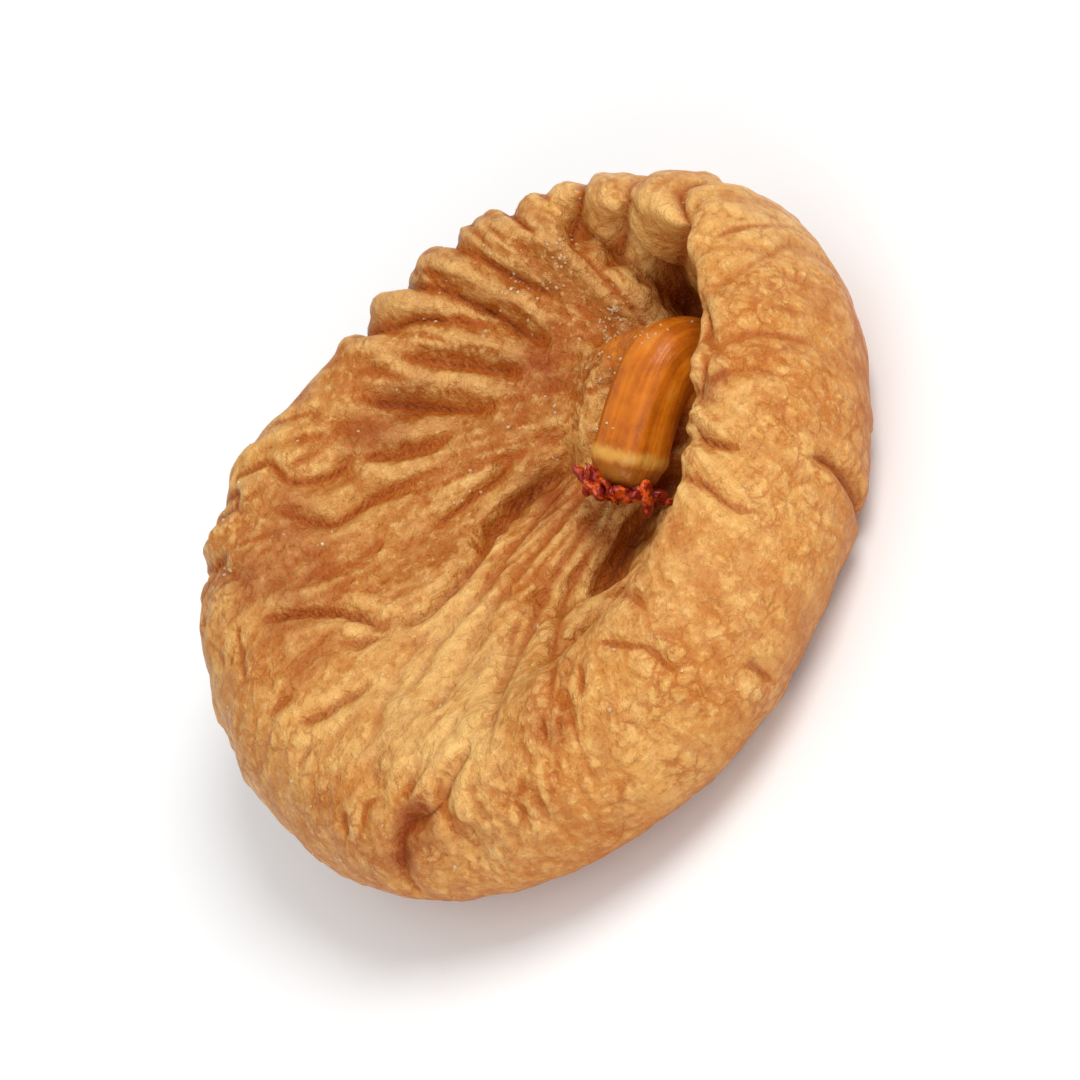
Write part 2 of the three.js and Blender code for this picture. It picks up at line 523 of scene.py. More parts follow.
@dataclass(frozen=True)
class Layout:
    """A drawing plane that leans back, on which folds are laid out before they are dropped onto the skin.

    Its first axis is +X and its second climbs the plane. Points drop along the plane's normal.
    """

    tilt: float = math.radians(LEAN)
    low: float = 6.15
    """How far the plane's first axis stands up the plane from the resting face, in millimetres."""

    def drop(self, drawn: Array, tree: BVHTree) -> Array:
        """Drops drawn points onto the skin.

        Args:
            drawn: one drawn point to a row.
            tree: the skin's faces.

        Returns:
            The skin's points under them. A point that misses the skin is left out.
        """
        up = np.array([0.0, math.sin(self.tilt), math.cos(self.tilt)])
        found = []
        for x, y in drawn:
            start = np.array([x, 0.0, 0.0]) + up * (y + self.low) + self.outward() * 100.0
            hit = tree.ray_cast(Vector(start), Vector(-self.outward()))[0]
            if hit is not None:
                found.append(hit[:])
        return np.array(found).reshape(-1, 3)

    def outward(self) -> Array:
        """The way that the plane faces."""
        return np.array([0.0, -math.cos(self.tilt), math.sin(self.tilt)])

    def across(self, points: Array) -> Array:
        """The drawn place of each point of the skin."""
        climb = points[:, 1] * math.sin(self.tilt) + points[:, 2] * math.cos(self.tilt) - self.low
        return np.column_stack([points[:, 0], climb])


@dataclass(frozen=True)
class Crease:
    """A narrow fold along a drawn path, with puffed banks."""

    path: tuple[tuple[float, float], ...]
    depth: float = 0.8
    width: float = 0.45
    over: float = 0.0
    """How far it runs on over the rim and down the outer side."""
    bank: float = 0.25


FAN_CREASES: tuple[Crease, ...] = (
    Crease(((11.5, 14.9), (11.7, 13.0), (11.9, 11.0), (12.2, 9.2), (12.5, 7.6)), 1.0, 0.42, 5),
    Crease(((8.2, 15.6), (8.7, 14.2), (9.1, 12.5), (9.5, 10.0), (9.7, 8.0), (9.9, 6.3)), 1.4, 0.6, 5),
    Crease(((7.7, 13.2), (8.1, 11.4), (9.0, 10.0)), 0.7, 0.5),
    Crease(((5.3, 15.2), (6.3, 14.3), (7.2, 13.0), (7.8, 11.5)), 1.3, 0.6, 7),
    Crease(((3.6, 14.2), (4.9, 12.0), (5.8, 10.3), (6.5, 9.0), (7.2, 7.8), (7.8, 6.6)), 1.1, 0.5),
    Crease(((0.3, 14.6), (1.2, 12.6), (2.2, 10.9), (3.2, 9.4), (4.2, 8.0), (5.2, 6.8)), 1.3, 0.8),
    Crease(((-2.2, 12.2), (-1.4, 10.6), (0.0, 9.5), (1.2, 8.7), (2.2, 7.8)), 0.9, 0.45),
    Crease(((-6.0, 16.4), (-6.2, 14.6), (-4.8, 13.0), (-3.4, 12.4), (-2.0, 12.4)), 0.7, 0.5, 4),
    Crease(
        ((-8.3, 14.4), (-7.6, 12.6), (-6.8, 11.0), (-5.5, 10.3), (-4.0, 9.8), (-2.2, 8.8), (-0.8, 8.0)),
        0.7,
        0.45,
    ),
    Crease(((-10.4, 9.6), (-8.5, 8.8), (-7.0, 8.1), (-5.0, 7.7)), 0.4, 0.4),
    Crease(((1.6, 15.6), (2.6, 13.6), (3.6, 11.8)), 0.4, 0.4),
)
FACE_CREASES: tuple[Crease, ...] = (
    Crease(
        ((4.5, 1.3), (2.0, 2.1), (0.0, 2.4), (-2.5, 2.5), (-5.0, 2.6), (-7.5, 3.0), (-9.5, 3.7)), 1.1, 0.45
    ),
    Crease(((-9.5, 3.7), (-9.9, 4.8), (-10.3, 6.3), (-11.2, 8.0), (-12.4, 9.5), (-14.4, 11.3)), 0.9, 0.42),
    Crease(((-9.5, 3.7), (-11.0, 4.7), (-12.5, 6.4)), 0.6, 0.4),
    Crease(((3.5, 4.3), (1.5, 4.3), (0.0, 4.7), (-1.6, 5.2), (-2.9, 5.7), (-3.5, 6.4)), 0.8, 0.4),
    Crease(((-18.6, 7.1), (-17.0, 6.8), (-16.0, 6.3)), 0.4, 0.35),
    Crease(((-18.1, 5.4), (-16.5, 4.5), (-15.0, 3.9), (-13.5, 3.2), (-12.4, 2.9)), 0.6, 0.38),
    Crease(((-20.3, 3.6), (-19.0, 3.8), (-17.8, 3.7)), 0.35, 0.35),
    Crease(((-21.6, -1.4), (-20.8, -0.5), (-20.0, -0.3)), 0.4, 0.35),
    Crease(((-20.6, -1.7), (-19.2, -1.1), (-18.0, -1.4)), 0.35, 0.35),
    Crease(
        (
            *((-21.2, -5.2), (-19.6, -3.9), (-18.2, -3.8), (-17.3, -4.5)),
            *((-16.0, -4.5), (-14.0, -4.0), (-12.0, -3.9)),
        ),
        0.8,
        0.5,
        3,
    ),
    Crease(((-9.8, -3.3), (-7.5, -2.8), (-6.0, -2.2), (-4.5, -1.8)), 0.35, 0.4),
    Crease(((-14.4, 12.4), (-16.0, 11.2), (-17.5, 9.8), (-18.4, 9.4)), 0.35, 0.35),
)
TENDON_CREASES: tuple[Crease, ...] = (
    Crease(((4.6, -0.2), (2.2, -0.3), (-2.8, -0.1), (-6.2, -0.2), (-9.6, -0.8), (-12.9, -0.8)), 0.45, 0.5),
    Crease(((4.6, -1.6), (2.8, -1.8), (-1.4, -2.0), (-5.7, -2.8), (-9.4, -3.6), (-11.5, -4.6)), 0.5, 0.55),
    Crease(((4.0, 0.6), (0.5, 1.0), (-4.0, 1.1), (-8.5, 1.3), (-12.5, 1.0)), 0.4, 0.45),
    Crease(((2.2, -3.0), (-1.0, -3.2), (-3.6, -4.0), (-6.0, -5.2), (-8.2, -6.5)), 0.45, 0.5),
    Crease(((-6.5, 2.0), (-10.0, 2.2), (-13.5, 1.8), (-16.5, 0.8)), 0.35, 0.4),
    Crease(((-11.0, -2.2), (-14.0, -2.6), (-17.0, -2.8)), 0.35, 0.4),
)
ROLL_EDGE: tuple[Crease, ...] = (
    Crease(((18.2, 8.6), (18.0, 6.3), (17.6, 3.4), (17.0, 0.9), (15.5, -1.0)), 1.2, 0.6, 0.0, 0.1),
    Crease(((15.5, -1.0), (13.3, -2.0), (11.1, -2.8), (9.4, -3.4)), 0.9, 0.5, 0.0, 0.1),
    Crease(
        ((9.4, -3.7), (7.7, -4.1), (5.6, -4.1), (3.6, -4.4), (1.4, -4.5), (-1.2, -4.6)), 2.0, 0.6, 0.0, 0.1
    ),
)
ROLL_FOOT = (
    *((-22.0, -12.0), (-10.0, -8.5), (-4.0, -5.5), (-1.2, -4.8)),
    *((3.6, -4.4), (9.4, -3.4), (15.5, -1.0), (17.0, 1.0)),
)
"""Where the wall and the roll meet the face, as drawn."""

WALL_CREASES: tuple[Crease, ...] = (
    Crease(((-9.7, -7.9), (-8.8, -6.6), (-7.6, -6.2)), 0.5, 0.45),
    Crease(((-6.4, -7.6), (-5.2, -6.8), (-4.4, -6.0)), 0.45, 0.35),
    Crease(((-3.0, -6.0), (-2.2, -7.5), (-1.4, -9.0), (-1.6, -10.6), (-1.3, -11.8)), 0.5, 0.4),
    Crease(((0.0, -5.0), (0.6, -6.5), (0.2, -8.0)), 0.45, 0.4),
    Crease(((1.2, -14.0), (1.5, -15.2), (1.3, -16.6)), 0.5, 0.4),
    Crease(((4.1, -4.3), (4.0, -5.2)), 0.5, 0.5),
    Crease(((1.2, -4.6), (1.3, -5.4)), 0.5, 0.5),
    Crease(((8.0, -3.9), (8.5, -6.0), (8.5, -8.0), (9.2, -9.8)), 0.6, 0.42),
    Crease(((10.5, -3.4), (11.0, -5.0), (11.8, -6.8)), 1.0, 0.5),
    Crease(((13.6, -9.8), (14.1, -11.4), (13.8, -13.0), (12.9, -14.6)), 0.8, 0.45, 3),
    Crease(((15.2, -1.2), (17.5, -2.8), (18.8, -4.9), (19.5, -7.0)), 0.36, 0.85),
    Crease(((12.8, -2.1), (14.1, -2.7), (15.8, -4.1), (16.8, -6.4)), 0.3, 0.6),
    Crease(((-17.2, -8.2), (-17.0, -6.4), (-15.9, -5.6)), 0.4, 0.4),
    Crease(((-15.4, -9.4), (-14.0, -9.0), (-13.4, -8.0), (-12.4, -8.2)), 0.4, 0.4),
)
RIM_CREASES: tuple[Crease, ...] = (
    Crease(((17.2, 0.2), (19.0, 0.3), (21.5, -0.6), (23.5, -1.6)), 0.25, 0.7, 5),
    Crease(((16.9, 2.2), (18.2, 2.9), (19.6, 3.8), (21.0, 4.9), (22.3, 6.0)), 0.9, 0.65, 6),
    Crease(((20.4, 2.4), (21.9, 1.9), (23.2, 0.7), (24.3, -0.8)), 0.25, 0.5, 4),
    Crease(((16.4, 5.9), (18.0, 7.1), (19.7, 8.1)), 0.8, 0.55, 6),
    Crease(((15.4, 8.8), (17.2, 9.9), (18.6, 10.9)), 0.7, 0.55, 5),
    Crease(((15.0, 11.0), (15.1, 12.6), (15.2, 13.6)), 0.9, 0.5, 6),
    Crease(((-9.4, 15.4), (-9.6, 16.6)), 0.6, 0.5, 6),
    Crease(((-12.6, 13.6), (-13.3, 14.8)), 0.5, 0.5, 6),
)

ALL_CREASES = FAN_CREASES + FACE_CREASES + TENDON_CREASES + ROLL_EDGE + WALL_CREASES + RIM_CREASES


@dataclass(frozen=True)
class Patch:
    """A patch of the skin that is darker, or with a negative strength paler."""

    x: float
    y: float
    """Its drawn place."""
    reach: float
    strength: float

    def share(self, drawn: Array) -> Array:
        """How much of it each drawn place has."""
        gap = (drawn[:, 0] - self.x) ** 2 + (drawn[:, 1] - self.y) ** 2
        return self.strength * np.exp(-gap / self.reach**2)


# Darker patches are stains, but those at (2.6, 1.0) and (2.4, -3.6) are painted shade in the hollows beside
# the stalk's tip. Paler patches lighten the skin; the one at (19.0, 6.5) is painted light that lifts the wall
# behind the roll out of its shade.
PATCHES: tuple[Patch, ...] = (
    Patch(1.2, 12.0, 1.6, 1.0),
    Patch(-1.6, 12.4, 1.4, 0.7),
    Patch(-8.0, 13.2, 1.8, 0.6),
    Patch(-10.4, 11.0, 2.6, 0.6),
    Patch(-12.5, 13.0, 2.0, 0.6),
    Patch(-14.0, 8.0, 2.4, 0.4),
    Patch(-20.0, 1.5, 1.8, 0.4),
    Patch(-17.6, -3.9, 1.0, 0.9),
    Patch(-20.4, -4.6, 1.2, 0.9),
    Patch(8.6, 6.2, 1.8, 1.0),
    Patch(2.6, 1.0, 2.0, 0.9),
    Patch(2.4, -3.6, 1.6, 0.6),
    Patch(-8.8, -7.0, 1.5, 0.7),
    Patch(-18.0, -4.2, 2.0, 0.8),
    Patch(-12.8, -7.9, 1.5, 0.5),
    Patch(13.5, -2.7, 0.8, 0.7),
    Patch(14.4, -2.9, 0.4, 0.9),
    Patch(12.9, -3.2, 0.4, 0.8),
    Patch(16.6, 2.0, 1.2, 0.8),
    Patch(16.6, 7.5, 1.4, 0.6),
    Patch(-12.5, -0.4, 4.5, -1.0),
    Patch(-7.5, 0.4, 3.0, -0.7),
    Patch(-19.0, 3.0, 2.6, -0.4),
    Patch(-14.0, -6.5, 4.0, -0.4),
    Patch(5.0, -9.5, 4.5, -0.3),
    Patch(19.0, 6.5, 3.0, -0.4),
)


@dataclass(frozen=True)
class Pleats:
    """Furrows down the outer side and in towards the eye, spread round the fruit at random."""

    count: int
    first: tuple[float, float]
    """Range of where one starts, in millimetres out from the rim's crest, down being positive."""
    length: tuple[float, float]
    depth: tuple[float, float]
    width: float
    seed: int
    bank: float = 0.3


@dataclass(frozen=True)
class Relief:
    """Heights and sizes of what is worked into the skin besides its folds, in millimetres."""

    lump: float = 0.4
    lump_size: float = 6.0
    wrinkle: float = 0.2
    # How strongly the wrinkles mark the crease, along which the material paints shade.
    wrinkle_mark: float = 0.6
    wrinkle_size: tuple[float, float, float] = (2.4, 2.4, 15.0)
    """Spacing round the fruit, twice, and length along it."""
    ripple: float = 0.025
    ripple_by_neck: float = 0.045
    neck_reach: float = 22.0
    fine: float = 0.02
    rib: float = 0.05
    rib_patchy: float = 0.06
    patch_size: float = 4.5
    cobbles: tuple[tuple[float, float, int], ...] = ((1.9, 0.03, 3), (0.95, 0.03, 4))
    """Spacing, height and seed of each size of cobble."""
    wrinkles: tuple[tuple[float, float, int], ...] = ((1.0, 1.0, 51), (1.9, 0.5, 52))
    """Closeness, height and seed of each size of wrinkle."""
    lump_seed: int = 11
    speck_seed: int = 31
    fan_reach: float = 24.0
    """How far from the neck the fan's browner skin goes."""
    crust_reach: float = 8.0
    """How far from the neck the crust of sugar goes."""
    speck_size: float = 2.5
    loose_sugar: float = 0.035
    """How much sugar the rest of the face has, beside the crust's."""


@dataclass
class FigSkin:
    """The fruit and its stalk as one worked skin."""

    fruit: FruitForm = FruitForm()
    stalk: StalkForm = StalkForm()
    web: StalkForm = WEB
    layout: Layout = Layout()
    relief: Relief = Relief()
    voxel: float = 0.27
    """Spacing of the even mesh, in millimetres."""
    side_pleats: Pleats = Pleats(72, (-1.5, 8.0), (6.0, 16.0), (0.25, 0.8), 0.55, 21)
    sole_pleats: Pleats = Pleats(34, (17.0, 24.0), (6.0, 16.0), (0.15, 0.45), 0.45, 22)
    face_pleats: Pleats = Pleats(60, (-18.0, -2.0), (3.5, 10.0), (0.08, 0.28), 0.34, 23)

    def __post_init__(self) -> None:
        """Joins the forms and reads where each point of the skin lies on them."""
        self.body_rings, self.body_run = self.fruit.rings()
        self.stalk_rings, self.stalk_share = self.stalk.rings()
        self.web_rings = self.web.rings()[0]
        self.skin = Skin(self.joined_mesh())
        self.crease = np.zeros(len(self.skin.points))
        self.read_places()

    def joined_mesh(self) -> bpy.types.Mesh:
        """Joins fruit, stalk and web, and remeshes them evenly.

        Returns:
            One closed mesh.
        """
        body = closed_skin(self.body_rings, "fruit_form")
        stalk = closed_skin(self.stalk_rings, "stalk_form")
        web = closed_skin(self.web_rings, "web_form")
        holders = [bpy.data.objects.new(m.name, m) for m in (body, stalk, web)]
        for holder in holders:
            bpy.context.scene.collection.objects.link(holder)
        first = holders[0]
        chosen = {"selected_editable_objects": holders, "selected_objects": holders}
        with bpy.context.temp_override(active_object=first, object=first, **chosen):
            bpy.ops.object.join()
        remesh = first.modifiers.new("even", "REMESH")
        remesh.mode, remesh.voxel_size, remesh.adaptivity = "VOXEL", self.voxel, 0.0
        graph = bpy.context.evaluated_depsgraph_get()
        even = bpy.data.meshes.new_from_object(first.evaluated_get(graph))
        bpy.data.objects.remove(first)
        return even

    def read_places(self) -> None:
        """Finds each point's place on its meridian and how near it is to the stalk."""
        body, stalk, web = (r.reshape(-1, 3) for r in (self.body_rings, self.stalk_rings, self.web_rings))
        known = np.vstack([body, stalk, web])
        tree = KDTree(len(known))
        for i, p in enumerate(known):
            tree.insert(p, i)
        tree.balance()
        nearest = np.array([tree.find(p)[1] for p in self.skin.points])
        on_web = nearest >= len(body) + len(stalk)
        on_stalk = (nearest >= len(body)) & ~on_web
        apart = on_stalk | on_web
        here = np.where(apart, 0, nearest)
        self.run = self.skin.spread(np.where(apart, 0.0, self.body_run.reshape(-1)[here]), 4)
        self.web_mask = on_web.astype(float)
        self.stalk_mask = self.skin.spread(on_stalk + 0.5 * on_web, 2)
        share = np.repeat(self.stalk_share, self.stalk.columns)
        place = share[np.clip(nearest - len(body), 0, len(share) - 1)]
        self.stalk_place = np.where(on_stalk, place, np.where(on_web, 0.3, 0.0))
        turn = np.where(on_stalk, (nearest - len(body)) / self.stalk.columns, nearest / self.fruit.columns)
        along = np.where(on_stalk, -10.0 * self.stalk_place, self.run)
        flow = np.column_stack([14 * np.cos(2 * math.pi * turn), 14 * np.sin(2 * math.pi * turn), along])
        self.flow = self.skin.spread(flow, 3)

    def fold_along(self, line: Array, fold: Crease, ease: Array, total: Array) -> None:
        """Adds one fold along a line of points on the skin to the total push, and marks it.

        Args:
            line: the fold's path over the skin.
            fold: gives its depth, width and banks.
            ease: how freely each point of the skin folds, 0 to 1.
            total: the push so far, which is changed.
        """
        points, depth, width = self.skin.points, fold.depth, fold.width
        reach = 4 * width + 1
        low, high = line.min(axis=0) - reach, line.max(axis=0) + reach
        inside = np.all((points > low) & (points < high), axis=1)
        near = np.flatnonzero(inside)
        if not len(near):
            return
        gaps = np.linalg.norm(points[near, None] - line[None], axis=2)
        place = np.argmin(gaps, axis=1)
        gap = gaps[np.arange(len(near)), place]
        along = np.concatenate([[0.0], np.cumsum(np.linalg.norm(np.diff(line, axis=0), axis=1))])
        to_end = np.minimum(along[place], along[-1] - along[place])
        ends = smooth(to_end / min(2.0, 0.45 * along[-1]) + 0.1)
        valley = np.exp(-((gap / (0.85 * width)) ** 1.1))
        banks = np.exp(-(((gap - 2.6 * width) / (1.6 * width)) ** 2))
        ends = ends * ease[near]
        total[near] += ends * depth * (fold.bank * banks - valley)
        self.crease[near] = np.maximum(self.crease[near], ends * valley**1.4 * min(1.0, 0.35 + depth))

    def run_on(self, line: Array, over: float) -> Array:
        """Carries a line on from its outer end, over the rim and down its meridian.

        Args:
            line: points along the skin.
            over: how far it goes on, in millimetres.

        Returns:
            The longer line.
        """
        rings = self.body_rings
        flat = rings.reshape(-1, 3)
        places = [int(np.argmin(np.linalg.norm(flat - end, axis=1))) for end in (line[0], line[-1])]
        runs = [self.body_run.reshape(-1)[place] for place in places]
        if runs[0] > runs[1]:
            line, place = line[::-1], places[0]
        else:
            place = places[1]
        row, column = divmod(place, self.fruit.columns)
        beyond = self.body_run[:, column] - self.body_run[row, column]
        down = rings[(beyond > 0.3) & (beyond < over), column]
        return np.vstack([line, down])

    def crease_relief(self) -> Array:
        """Folds the skin along the drawn creases.

        Returns:
            How far each point is pushed, negative inwards.
        """
        faces = [face.vertices[:] for face in self.skin.mesh.polygons]
        tree = BVHTree.FromPolygons(self.skin.points.tolist(), faces)
        total = np.zeros(len(self.skin.points))
        for crease in ALL_CREASES:
            line = self.layout.drop(smooth_curve(crease.path, 14 * len(crease.path)), tree)
            if crease.over:
                line = self.run_on(line, crease.over)
            self.fold_along(line, crease, 1 - self.stalk_mask, total)
        return total

    def pleat_relief(self, pleats: Pleats, ease: Array) -> Array:
        """Folds the skin along random pleats.

        Args:
            pleats: how many there are, and their sizes.
            ease: how freely each point folds, 0 to 1.

        Returns:
            How far each point is pushed, negative inwards.
        """
        draw = np.random.default_rng(pleats.seed)
        total = np.zeros(len(self.skin.points))
        crest_row = self.fruit.face_rows
        rings, run = self.body_rings, self.body_run
        for _ in range(pleats.count):
            column = int(draw.integers(self.fruit.columns))
            first = run[crest_row, column] + draw.uniform(*pleats.first)
            length, depth = draw.uniform(*pleats.length), draw.uniform(*pleats.depth)
            rows = np.flatnonzero((run[:, column] > first) & (run[:, column] < first + length))
            if len(rows) < 4:
                continue
            sway = draw.uniform(-9, 9, 3)
            share = np.linspace(0, 1, len(rows))
            slow, quick = sway[1] * np.sin(3 * share), sway[2] * np.sin(7 * share) * 0.4
            columns = column + sway[0] * share + slow + quick
            line = rings[rows, np.round(columns).astype(int) % self.fruit.columns]
            fold = Crease((), depth, pleats.width * draw.uniform(0.8, 1.5), bank=pleats.bank)
            self.fold_along(line, fold, ease, total)
        return total

    def calm(self) -> Array:
        """Finds the skin that doesn't pleat: the roll, the front wall and the left rim.

        Returns:
            0 where the skin pleats freely, to 1 where it is calm.
        """
        x, y = self.layout.across(self.skin.points).T
        foot = np.interp(x, *np.array(ROLL_FOOT).T)
        rolled = np.maximum(smooth((x - 16.8) / 1.2), smooth((foot - y) / 1.5))
        rolled = np.maximum(rolled, smooth((-16.0 - x) / 3.0))
        facing = self.skin.normals @ self.layout.outward()
        return self.skin.spread(rolled * smooth((facing + 0.25) / 0.35), 6)

    def wrinkle_relief(self, ease: Array) -> Array:
        """Makes the long fine wrinkles that run from the stalk to the eye, and marks them.

        Args:
            ease: how freely each point folds, 0 to 1.

        Returns:
            How far each point is pushed, negative inwards.
        """
        place = self.flow / np.array(self.relief.wrinkle_size)
        total = np.zeros(len(place))
        for scale, depth, seed in self.relief.wrinkles:
            level = Noise(seed).layers(place * scale + 5.0, 2)
            strength = smooth(0.5 + 1.6 * Noise(seed + 9).layers(self.skin.points / 5.0, 2))
            wrinkle = np.exp(-((level / 0.1) ** 2)) * strength * ease * depth
            self.crease = np.maximum(self.crease, self.relief.wrinkle_mark * wrinkle)
            total -= self.relief.wrinkle * wrinkle
        return total

    def stripe_weights(self, stretch: float) -> Array:
        """Edge weights that carry further along the meridians than across them.

        Args:
            stretch: how many times further.

        Returns:
            A weight for each edge.
        """
        a, b = self.skin.edges.T
        length = np.linalg.norm(self.skin.points[a] - self.skin.points[b], axis=1)
        along = np.clip(np.abs(self.run[a] - self.run[b]) / np.maximum(length, 1e-6), 0, 1) ** 2
        return 1 / stretch**2 + (1 - 1 / stretch**2) * along

    def grown_pattern(
        self, seed: int, steps: tuple[int, int], rounds: int, stretch: float, lean: float
    ) -> Array:
        """A pattern of puffs and furrows grown on the skin, as drying skin buckles.

        Args:
            seed: seeds the first ripple.
            steps: blur steps of the near and the far surroundings, which set the spacing.
            rounds: how many times it grows.
            stretch: how much longer the furrows are along the meridians than across.
            lean: above 0, furrows are narrower than puffs.

        Returns:
            About -1 in a furrow to 1 on a puff.
        """
        values = np.random.default_rng(seed).normal(size=len(self.skin.points))
        weights = self.stripe_weights(stretch)
        for _ in range(rounds):
            near = self.skin.spread(values, steps[0], weights)
            far = self.skin.spread(near, steps[1] - steps[0], weights)
            band = near - far
            values = np.tanh(1.6 * band / max(float(band.std()), 1e-9) + lean)
        return self.skin.spread(values, 1)

    def cobbles(self, spacing: float, seed: int) -> tuple[Array, Array]:
        """Divides the skin into cells.

        Args:
            spacing: the cells' size, in millimetres.
            seed: places them.

        Returns:
            How far into a cell each point is, and its cell's own random value.
        """
        jitter = np.random.default_rng(seed).random((64, 64, 64, 4))
        at = self.skin.points / spacing
        cell = np.floor(at).astype(int)
        first = np.full(len(at), np.inf)
        second = np.full(len(at), np.inf)
        chosen = np.zeros(len(at))
        for step in np.ndindex(3, 3, 3):
            box = cell + np.array(step) - 1
            key = box % 64
            spot = jitter[key[:, 0], key[:, 1], key[:, 2]]
            gap = np.linalg.norm(box + spot[:, :3] - at, axis=1)
            closer = gap < first
            second = np.where(closer, first, np.minimum(second, gap))
            chosen = np.where(closer, spot[:, 3], chosen)
            first = np.where(closer, gap, first)
        return second - first, chosen

    def work(self) -> None:
        """Works the skin: the stalk's fillet, lumps, folds and pleats, then wrinkles, then cobbles."""
        relief, skin = self.relief, self.skin
        skin.relax(3)
        self.fillet()
        lumps = Noise(relief.lump_seed)
        free = 1 - self.stalk_mask
        skin.push(relief.lump * free * lumps.layers(skin.points / relief.lump_size, 2))
        skin.push(self.crease_relief())
        calm = self.calm()
        skin.push(self.pleat_relief(self.side_pleats, free * (1 - 0.9 * calm)))
        for pleats in (self.sole_pleats, self.face_pleats):
            skin.push(self.pleat_relief(pleats, free))
        skin.push(self.wrinkle_relief(free * (1 - 0.55 * calm)))
        skin.relax(1)
        self.ripple(lumps, free, calm)

    def fillet(self) -> None:
        """Rounds the joint between the stalk, its web and the fruit."""
        skin = self.skin
        near = skin.spread((self.stalk_mask > 0.7).astype(float), 20)
        joint = np.minimum(4 * near * (1 - near) + skin.spread(self.web_mask, 12), 1.0)[:, None]
        skin.points = skin.points + joint * (skin.spread(skin.points, 50) - skin.points)
        skin.read_normals()

    def ripple(self, lumps: Noise, free: Array, calm: Array) -> None:
        """Ripples, ribs the sides and cobbles the skin.

        Args:
            lumps: the noise that makes the ripples patchy.
            free: 1 on the fruit and 0 on the stalk.
            calm: how calm each point is.
        """
        relief, skin = self.relief, self.skin
        stripes = self.grown_pattern(5, (8, 24), 14, 3.2, 0.3)
        fine = self.grown_pattern(8, (3, 9), 8, 1.5, 0.2)
        near_face = np.exp(-((self.run / relief.neck_reach) ** 2))
        patchy = smooth(0.55 + 0.9 * lumps.layers(skin.points / relief.patch_size + 40.0, 2))
        ripple = (relief.ripple + relief.ripple_by_neck * near_face) * stripes + relief.fine * fine
        skin.push(free * patchy * (1 - 0.6 * calm) * ripple)
        outward = unit(skin.points[:, :2])
        side = smooth((np.sum(outward * skin.normals[:, :2], axis=1) - 0.2) / 0.5)
        height = relief.rib + relief.rib_patchy * patchy
        skin.push(free * side * (1 - calm) * height * skin.spread(stripes, 4))
        for spacing, height, seed in relief.cobbles:
            edge, chosen = self.cobbles(spacing, seed)
            cobble = height * (smooth(edge / 0.6) - 0.5 + 0.3 * (chosen - 0.5))
            skin.push(free * (0.5 + 0.5 * patchy) * (1 - 0.4 * calm) * cobble)

    def mark_all(self) -> None:
        """Marks the skin for its material and for the sugar."""
        skin = self.skin
        skin.mark(Mark.FLOW, self.flow * MM)
        skin.mark(Mark.CREASE, self.crease)
        skin.mark(Mark.FURROW, np.clip(skin.hollow(3) / 0.05, -1, 1))
        skin.mark(Mark.DELL, np.clip(skin.hollow(30) / 0.35, -1, 1))
        self.mark_patches()
        self.mark_stalk()

    def mark_patches(self) -> None:
        """Marks the fan, the stains with the painted shade beside the stalk's tip, the pale patches, partly
        painted light, the underside with its painted shade, and where sugar has set.
        """
        skin, relief = self.skin, self.relief
        drawn = self.layout.across(skin.points)
        top = smooth((skin.normals[:, 2] + 0.2) / 0.5)
        from_neck = np.linalg.norm(skin.points[:, :2] - np.array(self.fruit.neck), axis=1)
        behind = smooth((drawn[:, 1] - 1.5) / 3.0) * smooth((17.0 - drawn[:, 0]) / 2.0)
        skin.mark(Mark.FAN, top * behind * np.exp(-((from_neck / relief.fan_reach) ** 4)))
        # Darker patches are stains, and painted shade beside the stalk's tip; paler ones are painted light on
        # skin in shade, and lighter skin.
        stain_and_shade = sum(patch.share(drawn) for patch in PATCHES)
        facing = smooth((skin.normals @ self.layout.outward() + 0.2) / 0.4)
        skin.mark(Mark.STAIN_AND_SHADE, np.clip(stain_and_shade * facing, 0, 1))
        skin.mark(Mark.PALE_AND_PAINTED_LIGHT, np.clip(-stain_and_shade, 0, 1))
        # Darker the more the skin faces down: the underside's amber, partly painted shade.
        skin.mark(Mark.UNDERSIDE_AND_SHADE, smooth((0.25 - skin.normals[:, 2]) / 1.1))
        crust = np.exp(-((from_neck / relief.crust_reach) ** 2)) * behind * top
        specks = Noise(relief.speck_seed).layers(skin.points / relief.speck_size, 2)
        loose = relief.loose_sugar * top * smooth((specks - 0.2) / 0.2)
        skin.mark(Mark.SUGAR, crust * smooth(specks / 0.35) + loose)

    def mark_stalk(self) -> None:
        """Marks the stalk, the skin beside it, its collar and the torn stub."""
        skin, stalk = self.skin, self.stalk
        past = self.stalk_place - stalk.collar
        skin.mark(Mark.STALK, skin.spread(self.stalk_mask * smooth((self.stalk_place - 0.04) / 0.3), 8))
        skin.mark(Mark.STALK_SIDE, skin.spread(self.stalk_mask, 60))
        skin.mark(Mark.COLLAR, np.exp(-((past / stalk.collar_run) ** 4)))
        skin.mark(Mark.STUB, smooth((past - stalk.collar_run) / 0.012))

    def piece(self, name: str, shift: Array, material: bpy.types.Material) -> bpy.types.Object:
        """Puts the finished skin in the frame.

        Args:
            name: the piece's name.
            shift: where it goes, in metres.
            material: what it is dressed with.

        Returns:
            The object.
        """
        mesh = self.skin.mesh
        points = self.skin.points * MM + shift
        points[:, 2] = np.maximum(points[:, 2], 0.0)
        mesh.vertices.foreach_set("co", points.astype(np.float32).ravel())
        mesh.update()
        mesh.shade_smooth()
        mesh.materials.clear()
        mesh.materials.append(material)
        piece = bpy.data.objects.new(name, mesh)
        bpy.context.scene.collection.objects.link(piece)
        return piece


# ---------------------------------------------------------------- materials


